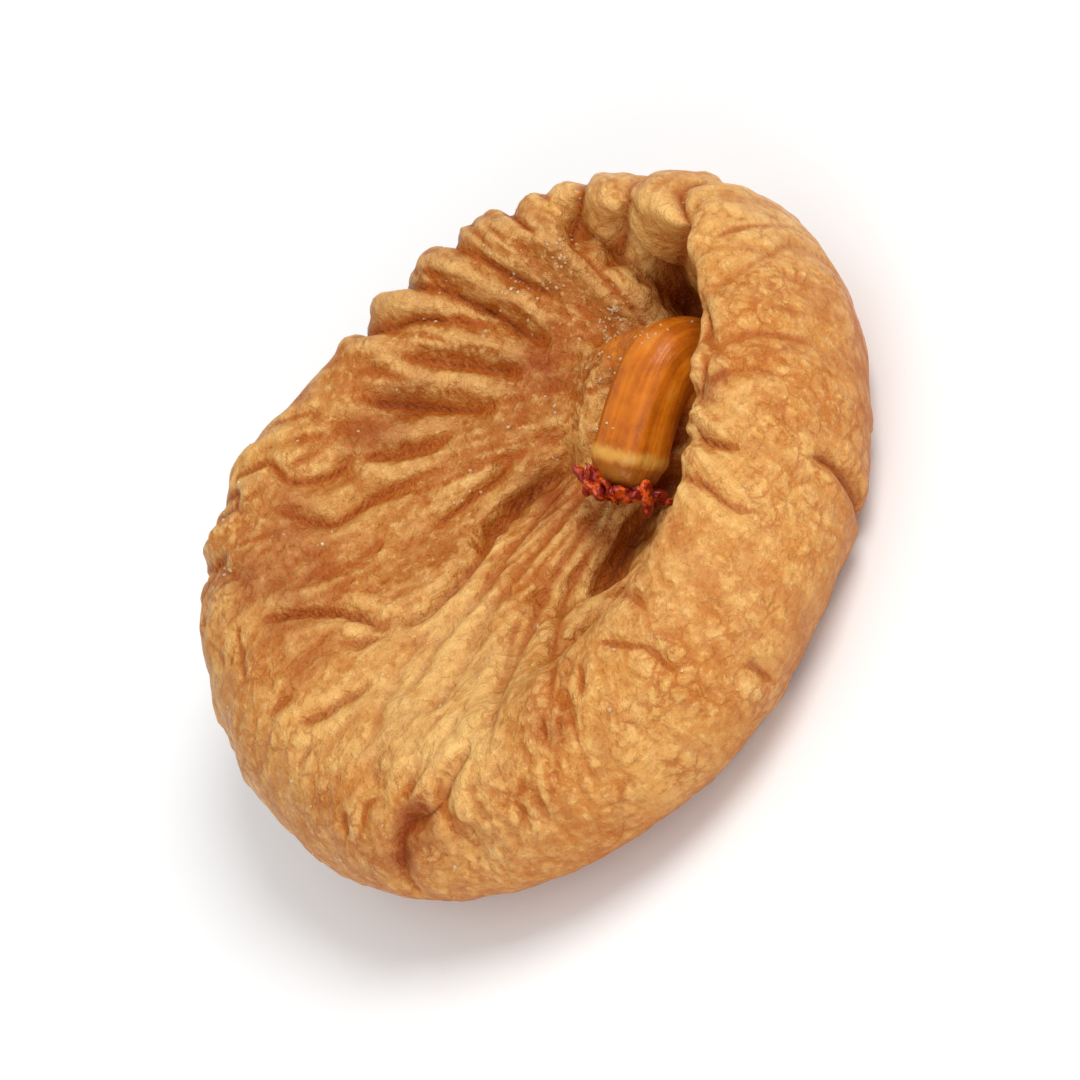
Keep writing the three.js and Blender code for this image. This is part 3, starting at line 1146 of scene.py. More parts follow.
def colour(code: str) -> tuple[float, float, float, float]:
    """A linear colour.

    Args:
        code: a hex code such as d6a064.

    Returns:
        Red, green, blue and 1.
    """
    parts = [int(code[i : i + 2], 16) / 255 for i in (0, 2, 4)]
    linear = [p / 12.92 if p <= 0.04045 else ((p + 0.055) / 1.055) ** 2.4 for p in parts]
    return (*linear, 1.0)


Value = bpy.types.NodeSocket | float | tuple


class Wiring:
    """Adds nodes to a tree and joins them up."""

    def __init__(self, tree: bpy.types.NodeTree) -> None:
        """Keeps the tree."""
        self.tree = tree

    def feed(self, socket: bpy.types.NodeSocket, value: Value) -> None:
        """Joins or sets one input.

        Args:
            socket: the input.
            value: a socket to join, or a value.
        """
        if isinstance(value, bpy.types.NodeSocket):
            self.tree.links.new(value, socket)
        else:
            socket.default_value = value

    def add(
        self, kind: str, inputs: dict[str | int, Value] | None = None, **settings: object
    ) -> bpy.types.Node:
        """Adds a node.

        Args:
            kind: the node's type name.
            inputs: sockets to join or values to set, by the input's name or place.
            settings: properties of the node.

        Returns:
            The node.
        """
        node = self.tree.nodes.new(kind)
        for key, value in settings.items():
            setattr(node, key, value)
        for key, value in (inputs or {}).items():
            self.feed(node.inputs[key], value)
        return node

    def mix(self, share: Value, a: Value, b: Value) -> bpy.types.NodeSocket:
        """Mixes two colours."""
        return self.add("ShaderNodeMix", {0: share, 6: a, 7: b}, data_type="RGBA").outputs[2]

    def sum(self, kind: str, a: Value, b: Value) -> bpy.types.NodeSocket:
        """One step of arithmetic."""
        return self.add("ShaderNodeMath", {0: a, 1: b}, operation=kind).outputs[0]

    def span(
        self, value: Value, low: float, high: float, to_low: float = 0.0, to_high: float = 1.0
    ) -> bpy.types.NodeSocket:
        """Maps a range of values onto another, smoothly."""
        inputs = {0: value, 1: low, 2: high, 3: to_low, 4: to_high}
        return self.add("ShaderNodeMapRange", inputs, interpolation_type="SMOOTHSTEP").outputs[0]

    def product(self, a: Value, b: Value) -> bpy.types.NodeSocket:
        """One value times another."""
        return self.sum("MULTIPLY", a, b)

    def mark(self, mark: Mark) -> bpy.types.NodeSocket:
        """A value marked on the mesh."""
        return self.add("ShaderNodeAttribute", attribute_name=mark.value).outputs["Fac"]

    def noise(
        self, place: Value, scale: Value, detail: float = 3.0, rough: float = 0.55
    ) -> bpy.types.NodeSocket:
        """Smooth noise, 0 to 1."""
        inputs = {"Vector": place, "Scale": scale, "Detail": detail, "Roughness": rough}
        return self.add("ShaderNodeTexNoise", inputs).outputs[0]


def new_group(
    name: str, vectors: tuple[str, ...], numbers: dict[str, float], results: tuple[str, ...]
) -> Wiring:
    """An empty shader node group with named inputs and outputs.

    Args:
        name: the group's name.
        vectors: names of its vector inputs.
        numbers: names of its number inputs, each with its usual value.
        results: names of its outputs.

    Returns:
        Wiring for the group's tree.
    """
    group = bpy.data.node_groups.new(name, "ShaderNodeTree")
    for vector in vectors:
        group.interface.new_socket(vector, in_out="INPUT", socket_type="NodeSocketVector")
    for number, usual in numbers.items():
        socket = group.interface.new_socket(number, in_out="INPUT", socket_type="NodeSocketFloat")
        socket.default_value = usual
    for result in results:
        group.interface.new_socket(result, in_out="OUTPUT", socket_type="NodeSocketFloat")
    return Wiring(group)


def grain_group() -> bpy.types.NodeTree:
    """A node group for every dried surface of the fig.

    Returns:
        The group. Patches are small blotches and Grain is finer, both 0 to 1.
    """
    scales = {"Patch Scale": 2000.0, "Grain Scale": 6000.0}
    w = new_group("dry_grain", ("Place",), scales, ("Patches", "Grain"))
    place, patch_scale, grain_scale = w.add("NodeGroupInput").outputs[:3]
    patches, grain = w.noise(place, patch_scale, 3.0, 0.6), w.noise(place, grain_scale)
    w.add("NodeGroupOutput", {"Patches": patches, "Grain": grain})
    return w.tree


def pucker_group() -> bpy.types.NodeTree:
    """A node group: the cells, cracks and hairlines of dried skin.

    Returns:
        The group. Height is for a bump, Lines is high in cracks and between hairs, and Puffs in the cells.
    """
    names = ("Height", "Lines", "Puffs")
    w = new_group("fine_pucker", ("Place", "Flow"), {"Cell Scale": 760.0}, names)
    place, flow, scale = w.add("NodeGroupInput").outputs[:3]
    rough_noise = {"Vector": place, "Scale": 1100.0, "Detail": 4.0, "Roughness": 0.65}
    wobble = w.add("ShaderNodeTexNoise", rough_noise).outputs["Color"]
    shifted = w.add("ShaderNodeVectorMath", {0: wobble, 3: 0.0015}, operation="SCALE").outputs[0]
    bent = w.add("ShaderNodeVectorMath", {0: place, 1: shifted}, operation="ADD").outputs[0]
    cells = w.add("ShaderNodeTexVoronoi", {"Vector": bent, "Scale": scale}, feature="DISTANCE_TO_EDGE")
    to_edge = cells.outputs["Distance"]
    puffs = w.span(to_edge, 0.0, 0.3)
    gate = w.span(w.noise(place, 330.0, 3.0), 0.45, 0.6, 0.15, 1.0)
    cracks = w.product(w.span(to_edge, 0.0, 0.15, 0.8, 0.0), gate)

    along = w.add("ShaderNodeVectorMath", {0: flow, 1: (1.0, 1.0, 0.16)}, operation="MULTIPLY").outputs[0]
    from_neck = w.add("ShaderNodeSeparateXYZ", {0: flow}).outputs[2]
    away = w.span(from_neck, 0.004, 0.014)
    hairs = w.product(w.span(w.noise(along, 1100.0, 2.0, 0.5), 0.3, 0.7), away)
    between = w.product(w.span(w.sum("ADD", hairs, w.sum("SUBTRACT", 1.0, away)), 0.4, 0.0), 0.5)

    height = w.sum("ADD", w.product(puffs, 0.5), w.product(w.noise(place, 6000.0, 3.0), 0.35))
    height = w.sum("ADD", height, w.product(w.noise(bent, 2300.0, 2.0, 0.5), 1.5))
    height = w.sum("ADD", height, w.product(hairs, 0.4))
    height = w.sum("SUBTRACT", height, w.product(cracks, 0.12))
    lines = w.sum("MAXIMUM", cracks, between)
    w.add("NodeGroupOutput", {"Height": height, "Lines": lines, "Puffs": puffs})
    return w.tree


def set_uniform(node: bpy.types.Node, values: dict[str, Value]) -> None:
    """Sets what is the same all over a surface, on the shader's own sockets."""
    for name, value in values.items():
        node.inputs[name].default_value = value


class SkinNodes(Wiring):
    """The skin material's nodes, with the patterns that several of its layers read."""

    def __init__(
        self, tree: bpy.types.NodeTree, pucker: bpy.types.NodeTree, grain: bpy.types.NodeTree
    ) -> None:
        """Adds the patterns.

        Args:
            tree: the material's tree.
            pucker: the group of cells, cracks and hairlines.
            grain: the group of small patches and grain.
        """
        super().__init__(tree)
        place = self.add("ShaderNodeTexCoord").outputs["Object"]
        flow = self.add("ShaderNodeAttribute", attribute_name=Mark.FLOW.value).outputs["Vector"]
        self.pucker = self.add("ShaderNodeGroup", node_tree=pucker)
        self.feed(self.pucker.inputs["Place"], place)
        self.feed(self.pucker.inputs["Flow"], flow)
        dry = self.add("ShaderNodeGroup", node_tree=grain)
        self.feed(dry.inputs["Place"], place)
        self.speckle = dry.outputs["Patches"]
        self.broad = self.noise(place, 110.0, 3.0)
        self.mottle = self.noise(place, 420.0, 4.0, 0.6)
        along = self.add("ShaderNodeVectorMath", {0: flow, 1: (1.0, 1.0, 0.4)}, operation="MULTIPLY")
        self.streak = self.noise(along.outputs[0], 150.0, 5.0, 0.62)


@dataclass(frozen=True)
class SkinFinish:
    """Colours and surface of the dried skin and of the stalk."""

    pale: str = "d0974c"
    tan: str = "c4833a"
    amber: str = "b86c1a"
    brown: str = "9b520e"
    # Darker amber of the underside, partly painted shade on skin that faces down.
    underside_and_shade: str = "b0641c"
    # Painted shade in the folds and hollows, over their deeper orange.
    crease: str = "a34c00"
    # Painted shade in the cores of the deepest creases.
    dark: str = "742e00"
    # Stains, and painted shade in the hollows beside the stalk's tip.
    stain_and_shade: str = "8e3a00"
    # Pale cream of the skin, also used for the painted highlights on the puffs and the painted light of the
    # pale patches.
    highlight: str = "e8bc74"
    stalk: str = "ca7010"
    stalk_dark: str = "a5520e"
    collar: str = "cc9440"
    stub: str = "a0601c"
    roughness: tuple[float, float] = (0.34, 0.54)
    stalk_polish: float = 0.12
    """How much smoother the stalk is than the skin."""
    bump_strength: float = 0.9
    bump_depth: float = 0.00018
    glow: float = 0.15
    """Share of the light that passes through the skin."""
    glow_depth: float = 0.0012

    def build(self, pucker: bpy.types.NodeTree, grain: bpy.types.NodeTree) -> bpy.types.Material:
        """Wires up the material.

        Args:
            pucker: the group of cells, cracks and hairlines.
            grain: the group of patches and grain.

        Returns:
            The material.
        """
        material = bpy.data.materials.new("fig_skin")
        material.use_nodes = True
        w = SkinNodes(material.node_tree, pucker, grain)
        shader = material.node_tree.nodes["Principled BSDF"]
        fruit = self.painted_shade_and_patches(w, self.fruit_colour(w))
        ragged = w.product(w.sum("SUBTRACT", w.mottle, 0.5), 0.9)
        on_stalk = w.span(w.sum("ADD", w.mark(Mark.STALK), ragged), 0.15, 0.75)
        w.feed(shader.inputs["Base Color"], w.mix(on_stalk, fruit, self.stalk_colour(w)))
        self.shape_surface(w, shader)
        radius = (1.0, 0.42, 0.16)
        set_uniform(shader, {"Subsurface Weight": self.glow, "Subsurface Radius": radius})
        set_uniform(shader, {"Subsurface Scale": self.glow_depth, "IOR": 1.42, "Specular IOR Level": 0.34})
        return material

    def fruit_colour(self, w: SkinNodes) -> bpy.types.NodeSocket:
        """The skin's colour: streaked, mottled and browner on the fan, with painted highlights on its puffs
        and a darker underside that is partly painted shade.

        Args:
            w: the material's nodes.

        Returns:
            The colour.
        """
        light, mottle = colour(self.highlight), w.mottle
        base = w.mix(w.span(w.broad, 0.36, 0.64), colour(self.pale), colour(self.tan))
        base = w.mix(w.span(w.streak, 0.45, 0.66, 0.0, 0.7), base, colour(self.amber))
        base = w.mix(w.span(mottle, 0.5, 0.75, 0.0, 0.5), base, colour(self.amber))
        base = w.mix(w.span(mottle, 0.5, 0.28, 0.0, 0.35), base, light)
        # Painted highlight on the tops of the cells.
        base = w.mix(w.span(w.pucker.outputs["Puffs"], 0.3, 1.0, 0.0, 0.16), base, light)
        fan = w.product(w.mark(Mark.FAN), w.span(mottle, 0.3, 0.7, 0.45, 0.95))
        base = w.mix(fan, base, colour(self.brown))
        base = w.mix(w.span(w.speckle, 0.52, 0.7, 0.0, 0.5), base, colour(self.brown))
        base = w.mix(w.span(w.speckle, 0.46, 0.3, 0.0, 0.5), base, light)
        # Painted highlight on the puffs between the narrow hollows.
        base = w.mix(w.span(w.mark(Mark.FURROW), 0.0, -0.9, 0.0, 0.45), base, light)
        # The underside darker amber, partly painted shade on skin that faces down.
        underside_and_shade = w.product(w.mark(Mark.UNDERSIDE_AND_SHADE), w.span(w.streak, 0.3, 0.6, 0.4, 0.8))
        return w.mix(underside_and_shade, base, colour(self.underside_and_shade))

    def painted_shade_and_patches(self, w: SkinNodes, base: bpy.types.NodeSocket) -> bpy.types.NodeSocket:
        """Paints shade into the folds and hollows, adds the stains with the painted shade beside the stalk's
        tip, and paints light onto the pale patches.

        Args:
            w: the material's nodes.
            base: the colour so far.

        Returns:
            The colour.
        """
        crease, mottle = w.mark(Mark.CREASE), w.mottle
        # Painted shade: narrow hollows, broad hollows and creases are darkened towards the crease colour.
        furrow = w.span(w.mark(Mark.FURROW), -0.1, 0.7, 0.0, 0.8)
        fold_shade = w.sum("MAXIMUM", furrow, w.span(w.mark(Mark.DELL), 0.08, 0.8, 0.0, 0.6))
        fold_shade = w.sum("MAXIMUM", fold_shade, w.span(crease, 0.1, 0.8, 0.0, 0.95))
        lines = w.product(w.pucker.outputs["Lines"], w.span(w.mark(Mark.FAN), 0.0, 1.0, 0.8, 0.35))
        base = w.mix(w.sum("MAXIMUM", fold_shade, lines), base, colour(self.crease))
        # Stains, with painted shade in the hollows beside the stalk's tip.
        stain_and_shade = w.product(w.mark(Mark.STAIN_AND_SHADE), w.span(mottle, 0.3, 0.6, 0.3, 0.95))
        base = w.mix(stain_and_shade, base, colour(self.stain_and_shade))
        # Pale patches: painted light that lifts skin lying in shade, and lighter skin on the broad ridges.
        pale = w.product(w.mark(Mark.PALE_AND_PAINTED_LIGHT), w.span(mottle, 0.35, 0.65, 0.7, 0.3))
        base = w.mix(pale, base, colour(self.highlight))
        beside = w.span(w.mark(Mark.STALK_SIDE), 0.02, 0.5, 0.0, 0.7)
        base = w.mix(beside, base, colour(self.stalk_dark))
        # Painted shade: the deepest crease cores go darker still.
        return w.mix(w.span(crease, 0.6, 1.0, 0.0, 0.6), base, colour(self.dark))

    def stalk_colour(self, w: SkinNodes) -> bpy.types.NodeSocket:
        """The stalk's colour, with its pale collar and the torn stub beyond.

        Args:
            w: the material's nodes.

        Returns:
            The colour.
        """
        cloud = w.sum("ADD", w.product(w.streak, 0.55), w.product(w.mottle, 0.45))
        stalk = w.mix(w.span(cloud, 0.38, 0.58), colour(self.stalk_dark), colour(self.stalk))
        stalk = w.mix(w.span(cloud, 0.53, 0.66, 0.0, 0.6), stalk, colour(self.collar))
        stalk = w.mix(w.mark(Mark.COLLAR), stalk, colour(self.collar))
        return w.mix(w.mark(Mark.STUB), stalk, colour(self.stub))

    def shape_surface(self, w: SkinNodes, shader: bpy.types.Node) -> None:
        """Joins up the roughness and the fine relief.

        Args:
            w: the material's nodes.
            shader: what they are joined to.
        """
        stalk = w.mark(Mark.STALK)
        rough = w.span(w.mottle, 0.3, 0.7, *self.roughness)
        w.feed(shader.inputs["Roughness"], w.sum("SUBTRACT", rough, w.product(stalk, self.stalk_polish)))
        height = w.product(w.pucker.outputs["Height"], w.span(stalk, 0.0, 1.0, 1.0, 0.12))
        height = w.sum("ADD", height, w.product(w.streak, w.product(stalk, 0.9)))
        inputs = {"Height": height, "Strength": self.bump_strength, "Distance": self.bump_depth}
        w.feed(shader.inputs["Normal"], w.add("ShaderNodeBump", inputs).outputs[0])


@dataclass(frozen=True)
class ScaleFinish:
    """Dry, glossy scales of two tones."""

    name: str
    dark: str
    bright: str
    patch_scale: float = 1400.0
    grain_scale: float = 4200.0

    def build(self, grain: bpy.types.NodeTree) -> bpy.types.Material:
        """Wires up the material.

        Args:
            grain: the group of patches and grain.

        Returns:
            The material.
        """
        material = bpy.data.materials.new(self.name)
        material.use_nodes = True
        w = Wiring(material.node_tree)
        shader = material.node_tree.nodes["Principled BSDF"]
        dry = w.add("ShaderNodeGroup", node_tree=grain)
        w.feed(dry.inputs["Place"], w.add("ShaderNodeTexCoord").outputs["Object"])
        w.feed(dry.inputs["Patch Scale"], self.patch_scale)
        w.feed(dry.inputs["Grain Scale"], self.grain_scale)
        patches = dry.outputs["Patches"]
        tone = w.mix(w.span(patches, 0.46, 0.62), colour(self.dark), colour(self.bright))
        w.feed(shader.inputs["Base Color"], tone)
        w.feed(shader.inputs["Roughness"], w.span(patches, 0.3, 0.7, 0.45, 0.22))
        bump = w.add("ShaderNodeBump", {"Height": dry.outputs["Grain"], "Strength": 0.5, "Distance": 0.0001})
        w.feed(shader.inputs["Normal"], bump.outputs[0])
        set_uniform(shader, {"Subsurface Weight": 0.15, "Subsurface Radius": (1.0, 0.25, 0.1)})
        set_uniform(shader, {"Subsurface Scale": 0.0006})
        return material


@dataclass(frozen=True)
class SugarFinish:
    """Crystals of the fruit's own sugar."""

    tint: str = "e6c494"

    def build(self) -> bpy.types.Material:
        """Sets up the material.

        Returns:
            The material.
        """
        material = bpy.data.materials.new("sugar")
        material.use_nodes = True
        shader = material.node_tree.nodes["Principled BSDF"]
        set_uniform(shader, {"Base Color": colour(self.tint), "Roughness": 0.22})
        set_uniform(shader, {"Transmission Weight": 0.45, "IOR": 1.45})
        return material


# ---------------------------------------------------------------- pieces scattered by nodes


class Scatter(Wiring):
    """A geometry node tree with named inputs that scatters one small shape and gives back a plain mesh."""

    def __init__(self, name: str) -> None:
        """Makes the tree with its geometry input and output.

        Args:
            name: the tree's name.
        """
        super().__init__(bpy.data.node_groups.new(name, "GeometryNodeTree"))
        self.tree.interface.new_socket("Geometry", in_out="INPUT", socket_type="NodeSocketGeometry")
        self.tree.interface.new_socket("Geometry", in_out="OUTPUT", socket_type="NodeSocketGeometry")
        self.start = self.add("NodeGroupInput")
        self.names: dict[str, str] = {}

    def ask(self, name: str, kind: str) -> bpy.types.NodeSocket:
        """Adds a named input to the tree.

        Args:
            name: the input's name.
            kind: its socket's type.

        Returns:
            The socket that gives its value inside the tree.
        """
        socket = self.tree.interface.new_socket(name, in_out="INPUT", socket_type=kind)
        self.names[name] = socket.identifier
        return self.start.outputs[name]

    def random(self, low: Value, high: Value, seed: Value) -> bpy.types.NodeSocket:
        """A random vector for each instance."""
        inputs = {0: low, 1: high, "Seed": seed}
        return self.add("FunctionNodeRandomValue", inputs, data_type="FLOAT_VECTOR").outputs[0]

    def close(self, geometry: bpy.types.NodeSocket, material: bpy.types.NodeSocket) -> None:
        """Ends the tree with its material and output."""
        painted = self.add("GeometryNodeSetMaterial", {"Geometry": geometry, "Material": material})
        self.add("NodeGroupOutput", {"Geometry": painted.outputs[0]})

    def run(self, name: str, source: bpy.types.Mesh, values: dict[str, object]) -> bpy.types.Object:
        """Runs the tree on a mesh.

        Args:
            name: the new object's name.
            source: the mesh that it starts from.
            values: the inputs by name.

        Returns:
            A plain mesh object.
        """
        holder = bpy.data.objects.new(name, source)
        bpy.context.scene.collection.objects.link(holder)
        modifier = holder.modifiers.new("scatter", "NODES")
        modifier.node_group = self.tree
        for key, value in values.items():
            modifier[self.names[key]] = value
        holder.update_tag()
        graph = bpy.context.evaluated_depsgraph_get()
        mesh = bpy.data.meshes.new_from_object(holder.evaluated_get(graph))
        holder.modifiers.clear()
        bpy.data.objects.remove(holder)
        mesh.name = name
        piece = bpy.data.objects.new(name, mesh)
        bpy.context.scene.collection.objects.link(piece)
        LOG.info("%s: %d faces", name, len(mesh.polygons))
        return piece


def crystal_scatter() -> Scatter:
    """Small faceted grains spread over a mesh where its sugar mark is high.

    Returns:
        The tree, which asks for Density, Size, Seed and Material.
    """
    nodes = Scatter("crystals")
    density = nodes.ask("Density", "NodeSocketFloat")
    size = nodes.ask("Size", "NodeSocketFloat")
    seed = nodes.ask("Seed", "NodeSocketInt")
    material = nodes.ask("Material", "NodeSocketMaterial")
    sugar = {"Name": Mark.SUGAR.value}
    mark = nodes.add("GeometryNodeInputNamedAttribute", sugar, data_type="FLOAT").outputs[0]
    many = nodes.sum("MULTIPLY", mark, density)
    spread = {"Mesh": nodes.start.outputs[0], "Density": many, "Seed": seed}
    spots = nodes.add("GeometryNodeDistributePointsOnFaces", spread)
    grain = nodes.add("GeometryNodeMeshIcoSphere", {"Radius": 1.0, "Subdivisions": 1})
    turn = nodes.random((0.0, 0.0, 0.0), (6.28, 6.28, 6.28), seed)
    scale = nodes.random((0.3, 0.3, 0.3), (1.0, 1.0, 1.0), seed)
    grown = nodes.add("ShaderNodeVectorMath", {0: scale, 3: size}, operation="SCALE")
    inputs = {"Points": spots.outputs[0], "Instance": grain.outputs[0], "Scale": grown.outputs[0]}
    placed = nodes.add("GeometryNodeInstanceOnPoints", {**inputs, "Rotation": turn})
    nodes.close(nodes.add("GeometryNodeRealizeInstances", {0: placed.outputs[0]}).outputs[0], material)
    return nodes


def scale_scatter() -> Scatter:
    """Ragged dry scales, one at each face of a mesh, turned with the face's normal.

    Returns:
        The tree, which asks for Size, Ragged, Seed and Material.
    """
    nodes = Scatter("scales")
    size = nodes.ask("Size", "NodeSocketFloat")
    ragged = nodes.ask("Ragged", "NodeSocketFloat")
    seed = nodes.ask("Seed", "NodeSocketInt")
    material = nodes.ask("Material", "NodeSocketMaterial")
    flake = nodes.add("GeometryNodeMeshIcoSphere", {"Radius": 1.0, "Subdivisions": 3})
    flat = nodes.add("GeometryNodeTransform", {"Geometry": flake.outputs[0], "Scale": (0.55, 0.28, 1.0)})
    normal = nodes.add("GeometryNodeInputNormal").outputs[0]
    facing = nodes.add("FunctionNodeAlignRotationToVector", {"Vector": normal}, axis="Z")
    sway = nodes.random((-0.6, -0.6, -1.2), (0.6, 0.6, 1.2), seed)
    swayed = nodes.add("FunctionNodeEulerToRotation", {0: sway}).outputs[0]
    both = {0: facing.outputs[0], 1: swayed}
    turned = nodes.add("FunctionNodeRotateRotation", both, rotation_space="LOCAL")
    scale = nodes.random((0.45, 0.5, 0.4), (1.1, 1.1, 1.25), seed)
    grown = nodes.add("ShaderNodeVectorMath", {0: scale, 3: size}, operation="SCALE")
    points = nodes.add("GeometryNodeMeshToPoints", {"Mesh": nodes.start.outputs[0]}, mode="FACES")
    inputs = {"Points": points.outputs[0], "Instance": flat.outputs[0], "Scale": grown.outputs[0]}
    placed = nodes.add("GeometryNodeInstanceOnPoints", {**inputs, "Rotation": turned.outputs[0]})
    whole = nodes.add("GeometryNodeRealizeInstances", {0: placed.outputs[0]})
    place = nodes.add("GeometryNodeInputPosition").outputs[0]
    rough = nodes.add("ShaderNodeTexNoise", {"Vector": place, "Scale": 1900.0, "Detail": 2.0})
    middle = {0: rough.outputs["Color"], 1: (0.5, 0.5, 0.5)}
    centred = nodes.add("ShaderNodeVectorMath", middle, operation="SUBTRACT")
    offset = nodes.add("ShaderNodeVectorMath", {0: centred.outputs[0], 3: ragged}, operation="SCALE")
    torn = nodes.add("GeometryNodeSetPosition", {"Geometry": whole.outputs[0], "Offset": offset.outputs[0]})
    smooth_faces = nodes.add("GeometryNodeSetShadeSmooth", {"Geometry": torn.outputs[0]})
    nodes.close(smooth_faces.outputs[0], material)
    return nodes


@dataclass(frozen=True)
class SugarCrystals:
    """Grains of sugar that came out of the skin and sit where its sugar mark is high."""

    density: float = 1.3e7
    """Grains per square metre where the mark is one."""
    size: float = 0.00017
    seed: int = 4
    finish: SugarFinish = SugarFinish()

    def build(self, skin: bpy.types.Mesh) -> bpy.types.Object:
        """Scatters the grains over the skin."""
        values = {"Density": self.density, "Size": self.size, "Seed": self.seed}
        return crystal_scatter().run("sugar_crystals", skin, {**values, "Material": self.finish.build()})


@dataclass(frozen=True)
class ScaleCrown:
    """Ragged dry scales in a ring, such as the torn fibres of the stalk and the bracts of the eye."""

    name: str
    finish: ScaleFinish
    radius: float
    """Radius of the ring, in millimetres."""
    spread: float
    """How far outwards the scales lean, 0 for straight along the ring's axis."""
    count: int
    size: float
    """Half of a scale's length, in metres."""
    ragged: float
    """How far a scale's outline strays, in metres."""
    seeds: tuple[int, int]
    """One for the seats and one for the scales."""

    def seats(self, centre: Array, heading: Array) -> bpy.types.Mesh:
        """Small triangles round the ring, whose centres and normals seat the scales.

        Args:
            centre: the ring's centre, in millimetres.
            heading: the ring's axis, which the scales point along.

        Returns:
            A mesh of one loose triangle for each scale, in metres.
        """
        draw, count = np.random.default_rng(self.seeds[0]), self.count
        side = unit(np.cross(heading, [0.0, 0.0, 1.0]))
        up = np.cross(side, heading)
        turn = (np.arange(count) + draw.uniform(-0.35, 0.35, count)) / count * 2 * math.pi
        out = np.cos(turn)[:, None] * side + np.sin(turn)[:, None] * up
        seat = centre + out * (self.radius + draw.uniform(-0.2, 0.25, (count, 1)))
        seat = seat + heading * draw.uniform(-0.3, 0.3, (count, 1))
        way = unit(heading + self.spread * out)
        across = unit(np.cross(way, out))
        third = np.cross(way, across)
        corners = seat[:, None] + 0.01 * np.stack([across, third, -(across + third)], axis=1)
        mesh = bpy.data.meshes.new("crown_seats")
        faces = [(3 * i, 3 * i + 1, 3 * i + 2) for i in range(count)]
        mesh.from_pydata((corners.reshape(-1, 3) * MM).tolist(), [], faces)
        return mesh

    def build(
        self, scales: Scatter, grain: bpy.types.NodeTree, centre: Array, heading: Array, shift: Vector
    ) -> bpy.types.Object:
        """Seats the scales and turns them into one piece.

        Args:
            scales: the tree that grows a scale on each seat.
            grain: the node group of patches and grain.
            centre: the ring's centre, in millimetres.
            heading: the ring's axis.
            shift: moves the fig's own frame into the shared one, in metres.

        Returns:
            The piece.
        """
        seats = self.seats(centre, heading)
        seats.transform(Matrix.Translation(shift))
        material = self.finish.build(grain)
        values = {"Size": self.size, "Ragged": self.ragged, "Seed": self.seeds[1], "Material": material}
        return scales.run(self.name, seats, values)


TORN_END_PLACE = 0.985
"""Where along the stalk the torn end starts, 1 for its tip."""
EYE_HEIGHT = 2.0
"""Height of the scales in the eye's dimple, in millimetres."""
EYE_HEADING = (0.0, 0.05, -1.0)
"""The way that the eye faces."""
AIM = (0.0, 1.42, 7.0)
"""What the camera looks at, in the fig's own frame, in millimetres."""

TORN_END = ScaleCrown(
    name="torn_stalk_end",
    finish=ScaleFinish("torn_stalk", dark="84160a", bright="e4601c"),
    radius=2.0,
    spread=0.7,
    count=30,
    size=0.0011,
    ragged=0.0008,
    seeds=(6, 2),
)

EYE_SCALES = ScaleCrown(
    name="eye_scales",
    finish=ScaleFinish("eye_scales", dark="6b3313", bright="a8682c"),
    radius=0.75,
    spread=-0.8,
    count=11,
    size=0.0007,
    ragged=0.0003,
    seeds=(7, 3),
)


# ---------------------------------------------------------------- scene


@dataclass(frozen=True)
class Lamp:
    """One round soft light that faces the fig. Lengths are in metres."""

    name: str
    direction: tuple[float, float, float]
    """The way from the fig to the light."""
    distance: float
    size: float
    power: float

    def build(self, aim: Vector) -> None:
        """Hangs the light.

        Args:
            aim: the point that it faces.
        """
        data = bpy.data.lights.new(self.name, "AREA")
        data.shape, data.size, data.energy = "DISK", self.size, self.power
        light = bpy.data.objects.new(self.name, data)
        way = Vector(self.direction).normalized()
        light.location = aim + way * self.distance
        light.rotation_mode = "QUATERNION"
        light.rotation_quaternion = (-way).to_track_quat("-Z", "Y")
        bpy.context.scene.collection.objects.link(light)


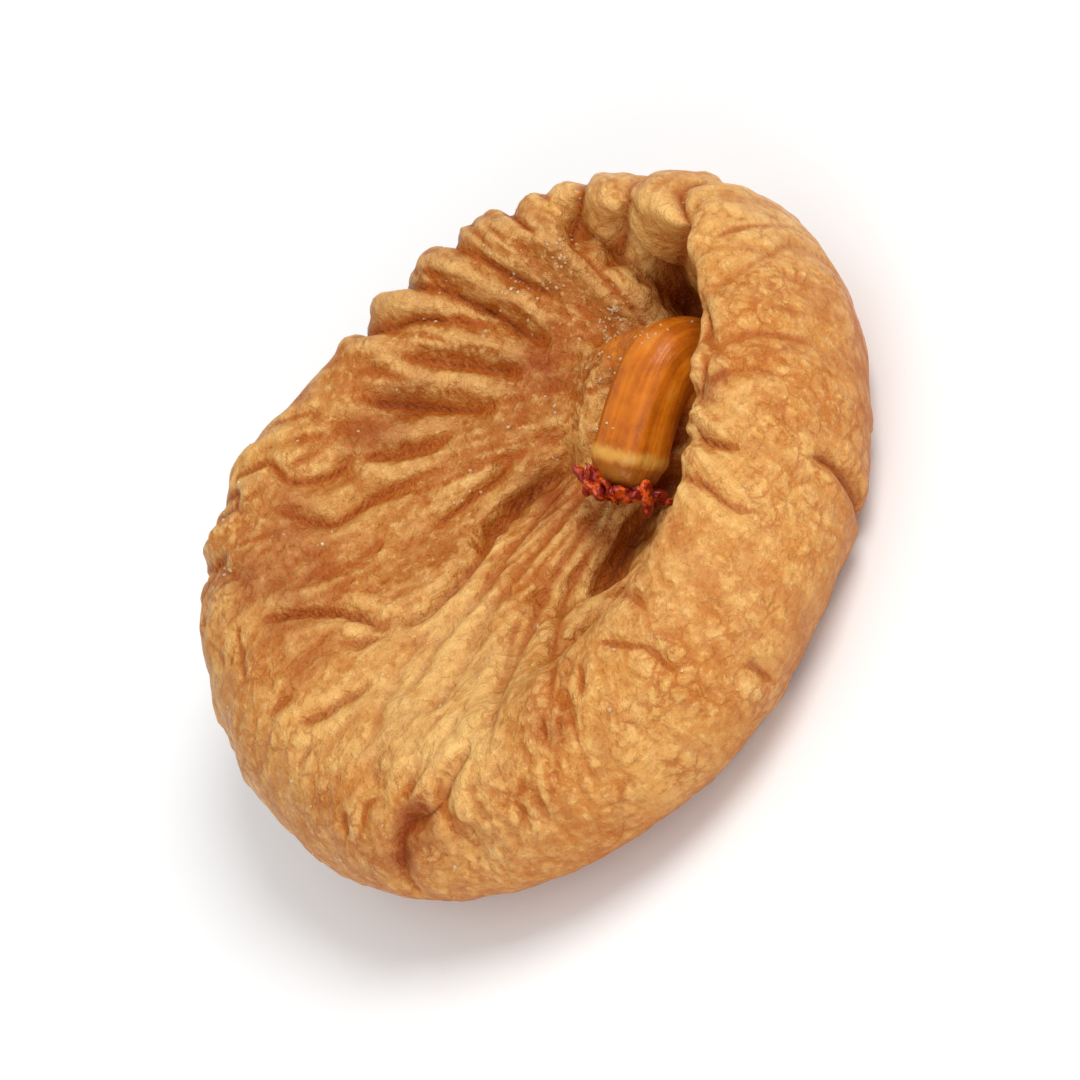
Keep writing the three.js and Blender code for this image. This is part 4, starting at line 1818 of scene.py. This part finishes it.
@dataclass(frozen=True)
class Studio:
    """Floor, lights and camera. Lengths are in metres and angles in degrees."""

    aim: Vector
    """The point that the camera looks at."""
    lamps: tuple[Lamp, ...] = (
        Lamp("key", (0.56, -0.24, 0.78), distance=0.6, size=0.28, power=2.4),
        Lamp("fill", (-0.45, -0.8, 0.4), distance=0.8, size=0.6, power=2.8),
    )
    surround: float = 0.68
    """Brightness of the white surround."""
    floor_grey: float = 0.86
    floor_radius: float = 3.0
    view_tilt: float = LEAN
    view_roll: float = 53.6
    """How far the camera is rolled, as the fig leans."""
    distance: float = 0.62
    frame_width: float = 0.066
    """What the picture spans at the fig."""
    sensor: float = 36.0
    """The camera's sensor width, in millimetres."""

    def build(self) -> None:
        """Makes all three."""
        self.make_floor()
        self.make_lights()
        self.make_camera()

    def make_floor(self) -> None:
        """A plain pale floor."""
        mesh = bpy.data.meshes.new("floor")
        r = self.floor_radius
        mesh.from_pydata([(-r, -r, 0), (r, -r, 0), (r, r, 0), (-r, r, 0)], [], [(0, 1, 2, 3)])
        floor = bpy.data.objects.new("floor", mesh)
        bpy.context.scene.collection.objects.link(floor)
        material = bpy.data.materials.new("floor_white")
        material.use_nodes = True
        shader = material.node_tree.nodes["Principled BSDF"]
        set_uniform(shader, {"Base Color": (*[self.floor_grey] * 3, 1.0), "Roughness": 0.6})
        mesh.materials.append(material)

    def make_lights(self) -> None:
        """A soft key, a weaker fill and a bright surround."""
        for lamp in self.lamps:
            lamp.build(self.aim)
        world = bpy.data.worlds.new("surround")
        bpy.context.scene.world = world
        world.use_nodes = True
        set_uniform(world.node_tree.nodes["Background"], {"Color": (1, 1, 1, 1), "Strength": self.surround})
        bpy.context.scene.view_settings.view_transform = "Standard"

    def make_camera(self) -> None:
        """The camera looks down on the stalk side, rolled as the fig leans."""
        data = bpy.data.cameras.new("camera")
        data.sensor_width = self.sensor
        data.lens = self.sensor * self.distance / self.frame_width
        camera = bpy.data.objects.new("camera", data)
        tilt, roll = math.radians(self.view_tilt), math.radians(self.view_roll)
        back = Vector((0, -math.cos(tilt), math.sin(tilt)))
        right = Vector((1, 0, 0))
        up = Vector((0, math.sin(tilt), math.cos(tilt)))
        c, s = math.cos(roll), math.sin(roll)
        turned = Matrix((c * right - s * up, s * right + c * up, back)).transposed()
        camera.matrix_world = Matrix.Translation(self.aim + back * self.distance) @ turned.to_4x4()
        bpy.context.scene.collection.objects.link(camera)
        bpy.context.scene.camera = camera


def main() -> None:
    """Builds the fig round the frame."""
    logging.basicConfig(level=logging.INFO, format="%(message)s")
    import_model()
    low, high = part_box(NODE)
    fig = FigSkin()
    middle = (fig.skin.points.min(axis=0) + fig.skin.points.max(axis=0)) / 2
    shift = np.array([(low[0] + high[0]) / 2 - middle[0] * MM, (low[1] + high[1]) / 2 - middle[1] * MM, 0.0])
    fig.work()
    fig.mark_all()
    grain, scales = grain_group(), scale_scatter()
    skin = fig.piece("fig", shift, SkinFinish().build(pucker_group(), grain))
    LOG.info("fig skin: %d points, %d faces", len(skin.data.vertices), len(skin.data.polygons))
    crystals = SugarCrystals().build(skin.data)
    centre, heading = fig.stalk.spine(np.array([TORN_END_PLACE]))
    torn = TORN_END.build(scales, grain, centre[0], heading[0], Vector(shift))
    eye = np.array([*fig.fruit.eye, EYE_HEIGHT])
    bracts = EYE_SCALES.build(scales, grain, eye, np.array(EYE_HEADING), Vector(shift))
    for piece in (skin, crystals, torn, bracts):
        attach(piece, BODY)
    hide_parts(NODE)
    Studio(Vector(shift) + Vector(AIM) * MM).build()


if __name__ == "__main__":
    main()
